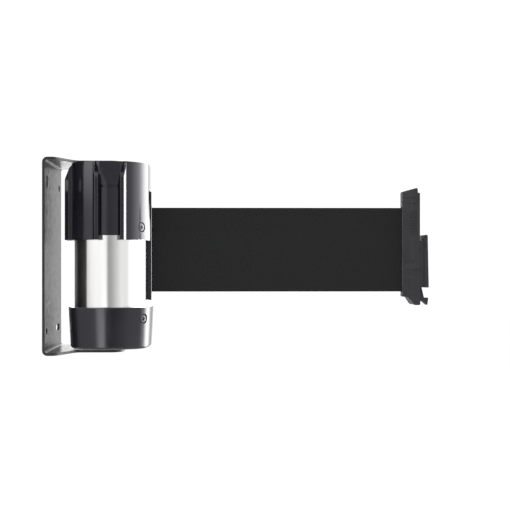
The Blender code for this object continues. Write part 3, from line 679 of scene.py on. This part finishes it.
def head():
    """The moulded cap on the tube, with three receivers and the belt's mouth."""
    bottom = HEAD_LOW.z
    body = prism(head_outline(True), SLOT_BOTTOM, HEAD_TOP, rims=(0, 0.7 * MM), steps=4)
    join(body, prism(head_outline(False), bottom, SLOT_BOTTOM + 0.05 * MM, rims=(0.35 * MM, 0)))
    cutters = []
    for facing in (90, 180, 270):
        place = Matrix.Translation((AXIS_X, 0, 0)) @ Matrix.Rotation(math.radians(facing), 4, "Z")
        cutters += [moved(cutter, place) for cutter in receiver_cutters()]
    cut(body, *cutters)
    inside_top = TUBE_HIGH.z + 0.3 * MM
    cut(body, axis_rod(bottom - MM, inside_top, TUBE_RADIUS + 0.15 * MM, sides=120))
    join(body, axis_rod(44.5 * MM, inside_top + MM, 7.5 * MM, sides=64))
    # the pivot's bore, and the shallow seat of its thrust washer
    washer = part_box("upper_thrust_washer")[1].x - AXIS_X
    cut(body, axis_rod(45.5 * MM, HEAD_TOP + MM, PIVOT_BORE),
        axis_rod(HEAD_HIGH.z - 0.02 * MM, HEAD_TOP + MM, washer + 0.25 * MM, sides=96),
        axis_rod(44 * MM, 46 * MM, 3 * MM))
    cut(body, *screw_holes(HEAD_SCREWS, HEAD_RADIUS, middle("head_screw_front").z))
    moved(body, turn_about_axis(HEAD_TURN))
    # the belt's mouth, in a flat that fades out towards the head's foot
    half = GUIDE_HIGH.y + 0.3 * MM
    flat = [(22.95, 60), (22.95, 33), (23.3, 24), (24.3, 10.5), (30, 10.5), (30, 60)]
    cut(body, block((AXIS_X + 15 * MM, -half, bottom - 2 * MM), (AXIS_X + 30 * MM, half, 39.2 * MM)),
        prism([(AXIS_X + u * MM, v * MM) for u, v in flat], -12 * MM, 12 * MM, "XZ"))
    soft_normals(body)
    stand_for(body, "head_moulding", "gloss_black", "cassette", "head_housing")


def screw_holes(away, outside, z):
    """The clearance holes and flat sinks of the two shell screws at one height."""
    sink = outside - 1.3 * MM
    holes = []
    # with 46 sides, none of a hole's own edges falls on the collar's corner line
    for angle in (away, -away):
        for near, far, radius in ((20 * MM, outside + MM, SCREW_BORE),
                                  (sink, outside + 2 * MM, 2.9 * MM)):
            holes.append(rod(about_axis(angle, near, z), about_axis(angle, far, z), radius, sides=46))
    return holes


SHELL_SCREWS = (("head_screw_front", -HEAD_SCREWS, HEAD_RADIUS),
                ("head_screw_rear", HEAD_SCREWS, HEAD_RADIUS),
                ("collar_screw_front", -COLLAR_SCREWS, COLLAR_CORNER),
                ("collar_screw_rear", COLLAR_SCREWS, COLLAR_CORNER))


def shell_screws():
    """Flat-headed cross-recess screws in the head and the collar."""
    for name, away, outside in SHELL_SCREWS:
        angle = away + HEAD_TURN
        z = middle(name).z
        way = about_axis(angle, 1, 0) - about_axis(angle, 0, 0)
        sunk = 0.4 * MM if outside > HEAD_RADIUS else 0.15 * MM
        face, seat = outside - sunk, outside - 1.25 * MM
        tip, shank, wide = 20.9 * MM, 1.35 * MM, 2.5 * MM
        profile = [(0, tip), (shank, tip), (shank, seat), (wide, seat), (wide, face - 0.5 * MM),
                   (wide - 0.15 * MM, face - 0.25 * MM), (wide - 0.6 * MM, face - 0.08 * MM), (0, face)]
        screw = lathe(profile, (AXIS_X, 0, z), way, 40)
        upright = Matrix.Translation((AXIS_X, 0, z)) @ way.to_track_quat("X", "Z").to_matrix().to_4x4()
        recess = [(face - 0.9 * MM, -0.5 * MM), (face + 0.1 * MM, -1.3 * MM),
                  (face + 0.1 * MM, 1.3 * MM), (face - 0.9 * MM, 0.5 * MM)]
        cut(screw, *[moved(prism(recess, -0.32 * MM, 0.32 * MM), upright @ Matrix.Rotation(turn, 4, "X"))
                     for turn in (0.3, math.pi / 2 + 0.3)])
        soft_normals(screw)
        stand_for(screw, f"{name}_cross", "black_screw", "cassette", name)


def tube():
    """The polished tube, with a window for the belt's mouth and holes for the screws."""
    rim = 0.25 * MM
    bore = TUBE_RADIUS - 1.2 * MM
    high, low = TUBE_HIGH.z, TUBE_LOW.z
    ring = [(bore, low), (TUBE_RADIUS - rim, low), (TUBE_RADIUS, low + rim),
            (TUBE_RADIUS, high - rim), (TUBE_RADIUS - rim, high), (bore, high), (bore, low)]
    shell = lathe(ring, (AXIS_X, 0, 0), sides=160)
    half = FLANGE_HALF + 0.9 * MM
    cutters = [block((AXIS_X + 15 * MM, -half, GUIDE_LOW.z - 0.3 * MM),
                     (AXIS_X + 30 * MM, half, GUIDE_HIGH.z + 0.3 * MM))]
    for name, away, _ in SHELL_SCREWS:
        angle, z = away + HEAD_TURN, middle(name).z
        cutters.append(rod(about_axis(angle, 18 * MM, z), about_axis(angle, 24 * MM, z), SCREW_BORE))
    cut(shell, *cutters)
    soft_normals(shell)
    stand_for(shell, "polished_shell", "polished_tube", "cassette", "shell_tube")


def soft_square(half):
    """A square with crowned sides and round corners, as distances from its middle."""
    crown, corner = 45 * MM, 10 * MM
    # where each side's arc runs into the corner's, both face the same way
    lean = math.acos((crown - half) / ((crown - corner) * math.sqrt(2))) - math.pi / 4
    points = []
    for quarter in range(4):
        facing = Matrix.Rotation(quarter * math.pi / 2, 2)
        side_centre = Vector((half - crown, 0))
        corner_centre = side_centre + (crown - corner) * Vector(polar(1, lean))
        for centre, radius, first, last in ((side_centre, crown, -lean, lean),
                                            (corner_centre, corner, lean, math.pi / 2 - lean)):
            for k in range(18):
                angle = first + (last - first) * k / 18
                points.append(facing @ (centre + radius * Vector(polar(1, angle))))
    return points


def collar():
    """The lower cap: a soft square in plan, that narrows a little towards its foot."""
    half_top = COLLAR_HALF
    half_foot = half_top - 1.2 * MM
    top, foot = COLLAR_HIGH.z, COLLAR_LOW.z
    rounding = 1.6 * MM
    levels = [(half_foot - rounding, foot)]
    for n in range(1, 7):
        angle = math.pi / 2 * n / 6
        levels.append((half_foot - rounding + rounding * math.sin(angle),
                       foot + rounding - rounding * math.cos(angle)))
    edge = 0.35 * MM
    levels += [(half_top, top - edge), (half_top - 0.1 * MM, top - 0.1 * MM), (half_top - edge, top)]
    work = bmesh.new()
    skin(work, [[work.verts.new((AXIS_X + point.x, point.y, z)) for point in soft_square(half)]
                for half, z in levels])
    body = new_object("collar", work)
    floor = TUBE_LOW.z - 0.3 * MM
    cut(body, axis_rod(floor, top + MM, TUBE_RADIUS + 0.15 * MM, sides=120),
        axis_rod(foot - MM, floor + MM, PIVOT_BORE))
    cut(body, *screw_holes(COLLAR_SCREWS, COLLAR_CORNER, middle("collar_screw_front").z))
    moved(body, turn_about_axis(HEAD_TURN))
    soft_normals(body)
    stand_for(body, "collar_moulding", "gloss_black", "cassette", "bottom_collar")


def mouth_guide():
    """The frame in the tube's window, its lips rounded where the belt rubs."""
    low, high = GUIDE_LOW.z, GUIDE_HIGH.z
    back, lip = AXIS_X + 20.7 * MM, AXIS_X + 24.2 * MM
    half = 2.2 * MM
    outline = rounded([(back, -half, 0.3 * MM), (lip, -half, 0.6 * MM),
                       (lip, half, 0.6 * MM), (back, half, 0.3 * MM)])
    guide = prism(outline, low, high, rims=(0.5 * MM, 0.5 * MM))
    outer, inner = TUBE_RADIUS - 0.2 * MM, TUBE_RADIUS - 1.3 * MM
    span = math.asin(FLANGE_HALF / outer)
    arc = [about_axis(span * (k / 12 - 1), outer, 0).xy for k in range(25)]
    arc += [about_axis(span * (1 - k / 12), inner, 0).xy for k in range(25)]
    join(guide, prism(arc, low, high, rims=(0.3 * MM, 0.3 * MM)))
    slot = 1.2 * MM
    flare = 0.7 * MM
    mouth = [(back - MM, slot), (lip - flare, slot), (lip - flare / 3, slot + flare / 3),
             (lip + 0.1 * MM, slot + flare)]
    mouth = [(x, -y) for x, y in mouth] + mouth[::-1]
    cut(guide, prism(mouth, BELT_LOW.z - MM, BELT_HIGH.z + MM))
    soft_normals(guide)
    stand_for(guide, "mouth_frame", "gloss_black", "cassette", "belt_mouth_guide")


# ---- The belt --------------------

BELT_THICK = 0.5 * MM
BELT_WIDTH = BELT_HIGH.z - BELT_LOW.z
BELT_MIDDLE = Vector((0, 0, (BELT_HIGH.z + BELT_LOW.z) / 2))
SELVEDGE = 1.6 * MM
MOUTH_X = AXIS_X + 21.2 * MM  # where the belt runs straight, inside the mouth
ROLL_RADIUS = (ROLL_HIGH.x - ROLL_LOW.x) / 2
ROLL_LEAVE = math.radians(20)  # where it leaves the roll
WOUND_LENGTH = 1.85  # metres on the roll at rest


def both_edges(corner):
    """A ribbon's section from the (depth, inset) points of one of its four corners."""
    side = corner + [(0, 0)] + [(-depth, inset) for depth, inset in reversed(corner)]
    section = [(depth, 1, inset) for depth, inset in side]
    return section + [(depth, -1, inset) for depth, inset in reversed(side)]


def belt_section():
    """Round the belt: flat faces, with a slightly thicker selvedge at either edge."""
    face, edge = BELT_THICK / 2 - 0.03 * MM, BELT_THICK / 2
    return both_edges([(face, SELVEDGE * 1.3), (edge, SELVEDGE), (edge, 0.5 * MM),
                       (edge * 0.8, 0.12 * MM)])


def along(points):
    """Stations for a belt's ribbon from points in plan, with their normals."""
    stations = []
    for n, point in enumerate(points):
        before, after = points[max(n - 1, 0)], points[min(n + 1, len(points) - 1)]
        way = (after - before).normalized()
        place = BELT_MIDDLE + Vector((point.x, point.y, 0))
        stations.append((place, Vector((-way.y, way.x, 0)), BELT_WIDTH / 2))
    return stations


def bezier(a, b, c, d, steps):
    """Points along a cubic curve from a to d."""
    for n in range(steps + 1):
        t = n / steps
        yield a * (1 - t) ** 3 + b * 3 * t * (1 - t) ** 2 + c * 3 * t * t * (1 - t) + d * t ** 3


def belt_path():
    """The belt's middle in plan: off the roll, through the mouth, and round the bar."""
    start = about_axis(ROLL_LEAVE, ROLL_RADIUS + BELT_THICK, 0).xy
    way_off = Vector((math.sin(ROLL_LEAVE), -math.cos(ROLL_LEAVE)))
    mouth = Vector((MOUTH_X, 0))
    points = list(bezier(start, start + way_off * 4 * MM, mouth - Vector((1.3 * MM, 0)), mouth, 14))
    bar = Vector(((BAR_LOW.x + BAR_HIGH.x) / 2, (BAR_LOW.y + BAR_HIGH.y) / 2))
    round_bar = (BAR_HIGH.x - BAR_LOW.x) / 2 + BELT_THICK / 2 + 0.05 * MM
    last = bar.x - 3.0 * MM
    spans = 90
    points += [mouth.lerp(Vector((last, 0)), n / spans) for n in range(1, spans + 1)]
    first = math.radians(-120)
    on_bar = [bar + Vector(polar(1, first + math.radians(15) * k)) * round_bar for k in range(17)]
    way_on = Vector((math.sin(-first), math.cos(first)))
    points += list(bezier(points[-1], points[-1] + Vector((0.8 * MM, 0)),
                          on_bar[0] - way_on * 0.5 * MM, on_bar[0], 5))[1:]
    points += on_bar[1:]
    tail = Vector((last, 0.6 * MM))
    points += list(bezier(on_bar[-1], on_bar[-1] - Vector((0.6 * MM, 0.5 * MM)),
                          tail + Vector((0.6 * MM, 0)), tail, 5))[1:]
    return points


def belt():
    """The belt between the roll and the belt end, in one length."""
    points = belt_path()
    strip = ribbon(along(points), Vector((0, 0, 1)), belt_section())
    smooth(strip, 50)
    strip.visible_glossy = False  # the soft boxes' reflections in the shell leave it out
    stand_for(strip, "belt_webbing", "webbing", None, "belt_strip")
    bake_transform(strip)


def wound_belt():
    """The rest of the belt in a spiral on the spool, a little thin to keep its turns apart."""
    inner = ROLL_RADIUS - 11 * MM + BELT_THICK / 2
    outer = ROLL_RADIUS - BELT_THICK / 2
    turns = WOUND_LENGTH / (math.pi * (inner + outer))
    count = round(turns * 40)
    points = []
    for n in range(count + 1):
        share = n / count
        radius = inner + (outer - inner) * share
        angle = ROLL_LEAVE - 2 * math.pi * turns * (1 - share)
        points.append(about_axis(angle, radius, 0).xy)
    face = 0.42 * BELT_THICK
    section = both_edges([(face, SELVEDGE), (face, 0.5 * MM)])
    roll = ribbon(along(points), Vector((0, 0, 1)), section)
    smooth(roll, 50)
    stand_for(roll, "wound_belt", "webbing", "spool", "belt_roll")


# ---- The belt end --------------------

def from_axis(mm):
    """A distance from the axis on the belt end's outline, as an X."""
    return AXIS_X + mm * MM


CLIP_THICK = CLIP_HIGH.y - 0.9 * MM  # half the grip's thickness; the tongue is wider
CLIP_THIN = 1.5 * MM
CLIP_LEFT = from_axis(174.8)  # the grip's edge on the belt's side,
CLIP_KNEE = from_axis(179.5)  # where its faces bend,
CLIP_CREST = from_axis(182.2)  # where it is thickest,
CLIP_FAR = from_axis(184.6)  # and its edge by the tongue
KNEE_STEP = 0.7 * MM  # how far each face lies back at the bend,
FAR_STEP = 0.3 * MM  # and at that edge
SEAM_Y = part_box("clip_cover")[0].y  # where the rear cover meets the main moulding
CLIP_SCREW_X = from_axis(178.8)
PIN_BORE = 1.15 * MM


def end_outline(*corners):
    """An outline of corners, each (distance from the axis, height, rounding) in mm."""
    return rounded([(from_axis(u), v * MM, radius * MM) for u, v, radius in corners])


def clip_outline():
    """The grip from the front: its foot slopes down, and its top right corner is cut out."""
    low, high = CLIP_LOW.z / MM, CLIP_HIGH.z / MM
    return end_outline(
        (174.8, low + 4.8, 0.5), (177.4, low + 4.8, 1.2), (181, low, 1.2), (184.4, low, 0.9),
        (184.2, -18.4, 0), (184.2, 37.9, 0.5), (182.9, 38.1, 0.2), (182.7, high + 0.8, 0.7),
        (174.8, 39, 0.5))


def wedge_outline(near):
    """The grip's plan from near to its back: thin on the belt's side, thick by the tongue."""
    thin, thick = CLIP_THIN, CLIP_THICK
    if near < 0:
        front = [(CLIP_LEFT, -thin, 0.7 * MM), (CLIP_KNEE, KNEE_STEP - thick, 5 * MM),
                 (CLIP_CREST, -thick, 6 * MM), (CLIP_FAR, FAR_STEP - thick, 0)]
    else:
        front = [(CLIP_LEFT, near, 0), (CLIP_FAR, near, 0)]
    back = [(CLIP_FAR, thick - FAR_STEP, 0), (CLIP_CREST, thick, 6 * MM),
            (CLIP_KNEE, thick - KNEE_STEP, 5 * MM), (CLIP_LEFT, max(thin, near + 0.6 * MM), 0)]
    return rounded(front + back, math.radians(2.5))


def face_half(x):
    """The wedge's half thickness at an X, away from its rounded corners."""
    knee_half = CLIP_THICK - KNEE_STEP
    if x < CLIP_KNEE:
        return CLIP_THIN + (knee_half - CLIP_THIN) * (x - CLIP_LEFT) / (CLIP_KNEE - CLIP_LEFT)
    if x < CLIP_CREST:
        return knee_half + KNEE_STEP * (x - CLIP_KNEE) / (CLIP_CREST - CLIP_KNEE)
    return CLIP_THICK - FAR_STEP * (x - CLIP_CREST) / (CLIP_FAR - CLIP_CREST)


def face_strip(left, right, z, half, inside, outside, rim=0):
    """A narrow strip along the grip's front, from a depth inside its face to one outside."""
    steps = 6
    places = [left + (right - left) * k / steps for k in range(steps + 1)]
    outline = [(x, inside - face_half(x)) for x in places]
    outline += [(x, -outside - face_half(x)) for x in reversed(places)]
    return prism(outline, z - half, z + half, rims=(rim, rim), steps=2)


def grip_ribs():
    """Fine ribs for the fingers."""
    return [face_strip(from_axis(178.6), CLIP_CREST, (14 + 1.62 * n) * MM, 0.3 * MM,
                       0.5 * MM, 0.34 * MM, 0.18 * MM) for n in range(9)]


def grip_grooves():
    """Cutters for the few moulding lines across the grip."""
    lines = ((175.8, 182.2, 35.1), (178.0, 182.2, 31.6), (176.0, 181.0, -3.2),
             (176.0, 184.4, -8.0), (178.4, 182.0, -10.4))
    return [face_strip(from_axis(left), from_axis(right), z * MM, 0.22 * MM, 0.3 * MM, 0.8 * MM)
            for left, right, z in lines]


def bore_through(x, z, near, far, radius):
    """A cutter for a round hole across the belt end, between two distances in Y, in mm."""
    return rod((x, near * MM, z), (x, far * MM, z), radius, sides=32)


def clip():
    """The belt end's main moulding, with the tongue that drops into a receiver."""
    thick = CLIP_THICK
    body = prism(clip_outline(), -thick - MM, thick + MM, "XZ")
    common(body, prism(wedge_outline(-thick), CLIP_LOW.z - MM, CLIP_HIGH.z + MM))
    # the rear cover's place, and the room of the belt's bar
    room_low, room_high = BELT_LOW.z - 0.6 * MM, BELT_HIGH.z + 0.6 * MM
    cut(body, block((from_axis(170), SEAM_Y - 0.3 * MM, -34 * MM), (from_axis(181.2), 12 * MM, 46 * MM)),
        block((from_axis(174), -0.9 * MM, room_low), (from_axis(178), 1.0 * MM, room_high)),
        block((from_axis(176.8), -2.2 * MM, room_low), (from_axis(181.4), SEAM_Y + MM, room_high)))
    # the neck and the tongue, whose rear corners slope back to it
    neck_half = 6 * MM
    neck = prism(rounded([(side * neck_half, z * MM, 0.8 * MM)
                          for side, z in ((-1, -18.4), (1, -18.4), (1, 9.8), (-1, 9.8))]),
                 from_axis(183.6), from_axis(187.2), "YZ")
    tongue = prism(end_outline((186.5, -18.4, 0.3), (189.1, -18.4, 0.5), (188.5, 13, 0.9),
                               (186.6, 13, 0.9)),
                   CLIP_LOW.y, CLIP_HIGH.y, "XZ", rims=(0.25 * MM, 0.25 * MM))
    wide, sloped = CLIP_HIGH.y + 0.1 * MM, from_axis(187.5)
    rear, front = from_axis(186.3), from_axis(190)
    common(tongue, prism([(rear, -neck_half), (sloped, -wide), (front, -wide),
                          (front, wide), (sloped, wide), (rear, neck_half)], -20 * MM, 15 * MM))
    join(body, neck, tongue)
    # the lever's bay, its spring's room, and the holes of the pin and the screw
    pivot, spring = middle("latch_pin"), middle("latch_spring")
    lever_half = (LEVER_HIGH.y - LEVER_LOW.y) / 2 + 0.35 * MM
    spring_half = 1.8 * MM
    cut(body, block((from_axis(180.75), -lever_half, -31 * MM),
                    (from_axis(192), lever_half, pivot.z + 2.7 * MM)),
        block((from_axis(178.8), -spring_half, spring.z - 1.6 * MM),
              (from_axis(181), spring_half, spring.z + 1.6 * MM)),
        bore_through(pivot.x, pivot.z, -4.4, 9, PIN_BORE),
        bore_through(CLIP_SCREW_X, middle("clip_screw").z, -2, 5, 1.1 * MM))
    join(body, *grip_ribs())
    cut(body, *grip_grooves())
    soft_normals(body, 28)
    stand_for(body, "grip_moulding", "matte_black", "belt_end", "clip_body")


def clip_rear():
    """The rear cover, which closes the bar's room and the lever's bay."""
    thick = CLIP_THICK
    cover = prism(clip_outline(), SEAM_Y, thick + MM, "XZ", rims=(0.1 * MM, 0))
    common(cover, prism(wedge_outline(SEAM_Y - 0.3 * MM), CLIP_LOW.z - MM, CLIP_HIGH.z + MM))
    screw_z = middle("clip_screw").z
    cut(cover, block((from_axis(180.9), 0, -34 * MM), (from_axis(190), 12 * MM, 46 * MM)),
        block((from_axis(174), SEAM_Y - MM, BELT_LOW.z - 0.6 * MM),
              (from_axis(174.9), 12 * MM, BELT_HIGH.z + 0.6 * MM)),
        bore_through(CLIP_SCREW_X, screw_z, 2, 8, 1.3 * MM),
        bore_through(CLIP_SCREW_X, screw_z, 4.6, 8, 2.3 * MM))
    soft_normals(cover, 28)
    stand_for(cover, "grip_rear_cover", "matte_black", "belt_end", "clip_cover")


def lever():
    """The latch lever, whose claw hooks under the receiver."""
    pivot = middle("latch_pin")
    pin_x, pin_z = (pivot.x - AXIS_X) / MM, pivot.z / MM
    outline = end_outline(
        (pin_x - 1.85, pin_z + 2.2, 1.8), (pin_x - 1.85, pin_z - 2.2, 0.8), (183.7, -18, 0.6),
        (183.9, -26.9, 0.6), (186.6, -26.6, 1.3), (189.6, -29.3, 0.3), (190.2, -24.6, 0.5),
        (187.6, -24.7, 0.6), (186.2, -18.6, 0.8), (pin_x + 2.2, pin_z - 2.6, 0.7),
        (pin_x + 2.2, pin_z + 2.2, 2.1))
    arm = prism(outline, LEVER_LOW.y, LEVER_HIGH.y, "XZ", rims=(0.15 * MM, 0.15 * MM))
    cut(arm, bore_through(pivot.x, pivot.z, -5, 5, PIN_BORE))
    soft_normals(arm)
    stand_for(arm, "latch_claw", "matte_black", "latch", "latch_lever")


def claw_spring():
    """The small coil spring behind the lever, which the claw presses when it is drawn in."""
    low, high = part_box("latch_spring")
    wire = 0.2 * MM
    radius = (high.z - low.z) / 2 - wire
    centre = middle("latch_spring")
    steps, per_turn, round_wire = 96, 24, 8
    work = bmesh.new()
    rings = []
    for n in range(steps + 1):
        angle = 2 * math.pi * n / per_turn
        out = Vector((0, math.cos(angle), math.sin(angle)))
        x = low.x + wire + (high.x - low.x - 2 * wire) * n / steps
        place = Vector((x, centre.y, centre.z)) + out * radius
        rings.append([work.verts.new(place + wire * (out * math.cos(turn) + Vector((math.sin(turn), 0, 0))))
                      for turn in (2 * math.pi * k / round_wire for k in range(round_wire))])
    skin(work, rings)
    spring = new_object("spring", work)
    smooth(spring, 50)
    stand_for(spring, "latch_spring_coil", "plain_steel", "belt_end", "latch_spring")
    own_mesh(spring)


# ---- The studio --------------------

def camera():
    """Square to the belt, about half a metre in front of it and right of the cassette."""
    data = bpy.data.cameras.new("camera")
    made = placed("camera", data)
    made.location = (AXIS_X + 59.2 * MM, -469 * MM, -3.7 * MM)
    made.rotation_euler = (math.pi / 2, 0, math.radians(-0.75))
    data.lens = 55.05
    data.sensor_width = 36
    data.shift_x = 0.068
    data.shift_y = 0.0153
    data.clip_start, data.clip_end = 0.01, 20
    bpy.context.scene.camera = made


TENT_RADIUS = 0.8
EVERYWHERE = (-400, -399, 399, 400)
# Each soft box's brightness, then where it starts, is full, is still full and ends, in
# degrees: round the object from the camera's side to the right, and above the horizon.
SOFT_BOXES = (
    (0.36, EVERYWHERE, EVERYWHERE),  # the tent's own cloth
    (0.70, (-100, -42, -9, -4), EVERYWHERE),  # a wide window on the left
    (2.30, (-94, -72, -42, -20), (5, 11.5, 60, 80)),  # a lamp high on the left
    (0.55, (-4, 46, 200, 201), EVERYWHERE),  # the front right
    (3.00, (55, 95, 130, 160), (-40, -25, 60, 80)),  # a window on the right
    (8.00, (85, 115, 126, 155), (-40, -25, 60, 80)),  # its brightest part
    (3.00, (-20, -14, -8, -3), (-30, -22, -9.5, -7)),  # a strip low in front
    (-0.35, (-110, -90, -24, -18), (-40, -30, -9.5, -7)),  # darker low on the left,
    (-0.20, (-4, 1, 12, 34), (-40, -30, -9.5, -7)),  # and low on the front right
    (0.50, (-201, -200, -165, -145), EVERYWHERE),  # the background, brighter on the left
    (3.00, (-201, -200, -174, -150), (-25, -14, 14, 25)),  # its bright middle,
    (0.42, (150, 170, 200, 201), EVERYWHERE),  # and its right half
    (0.60, EVERYWHERE, (25, 50, 399, 400)),  # the roof
)


def ease(value, start, full, full_end, end):
    """Rises smoothly from 0 at start to 1 at full, and falls from full_end to end."""
    up = min(max((value - start) / (full - start), 0), 1)
    down = min(max((end - value) / (end - full_end), 0), 1)
    return up * up * (3 - 2 * up) * down * down * (3 - 2 * down)


def tent():
    """A light tent of soft boxes round the object, which only its reflections see."""
    work = bmesh.new()
    bmesh.ops.create_uvsphere(work, u_segments=240, v_segments=160, radius=TENT_RADIUS)
    made = new_object("tent", work)
    made.location = (AXIS_X, 0, 0)
    glow = made.data.attributes.new("glow", "FLOAT", "POINT")
    for point, value in zip(made.data.vertices, glow.data):
        x, y, z = point.co
        azimuth = math.degrees(math.atan2(x, -y))
        elevation = math.degrees(math.atan2(z, math.hypot(x, y)))
        value.value = max(0.0, sum(strength * ease(azimuth, *around) * ease(elevation, *above)
                                   for strength, around, above in SOFT_BOXES))
    light = bpy.data.materials.new("tent")
    light.use_nodes = True
    nodes, links = light.node_tree.nodes, light.node_tree.links
    nodes.remove(nodes["Principled BSDF"])
    emission = nodes.new("ShaderNodeEmission")
    brightness = nodes.new("ShaderNodeAttribute")
    brightness.attribute_name = "glow"
    links.new(brightness.outputs["Fac"], emission.inputs["Strength"])
    links.new(emission.outputs["Emission"], nodes["Material Output"].inputs["Surface"])
    made.data.materials.append(light)
    made.visible_camera = False
    made.visible_diffuse = False
    made.visible_shadow = False
    made.visible_transmission = False


def studio():
    """Plain white surroundings, the tent, one soft lamp, and a floor well below."""
    world = bpy.data.worlds.new("studio")
    bpy.context.scene.world = world
    world.use_nodes = True
    sky = world.node_tree.nodes["Background"].inputs
    sky["Color"].default_value = (1, 1, 1, 1)
    sky["Strength"].default_value = 1.06
    bpy.context.scene.view_settings.view_transform = "Standard"

    tent()

    key = bpy.data.lights.new("key", "AREA")
    key.shape, key.size, key.size_y, key.energy = "RECTANGLE", 0.8, 0.5, 3.0
    lamp = placed("key", key)
    lamp.location = (AXIS_X + 0.3, -0.75, 0.9)
    lamp.rotation_euler = (Vector((AXIS_X, 0, 0)) - lamp.location).to_track_quat("-Z", "Y").to_euler()
    lamp.visible_camera = False
    lamp.visible_glossy = False

    work = bmesh.new()
    bmesh.ops.create_grid(work, x_segments=8, y_segments=8, size=4)
    floor = new_object("floor", work)
    floor.location = (CAD_BOX[1].x / 2, 0, -0.32)
    pale = Look("floor", (0.96, 0.96, 0.96), 0.9, Specular_IOR_Level=0.1)
    pale.colours(pale.noise(3, 2), (0.955, 0.955, 0.955), (0.965, 0.965, 0.965))
    floor.data.materials.append(pale.material)


dress_cad_nodes()
for build in (camera, studio, bracket, pivot_screws, head, tube, collar, mouth_guide, shell_screws,
              wound_belt, belt, clip, clip_rear, lever, claw_spring):
    build()
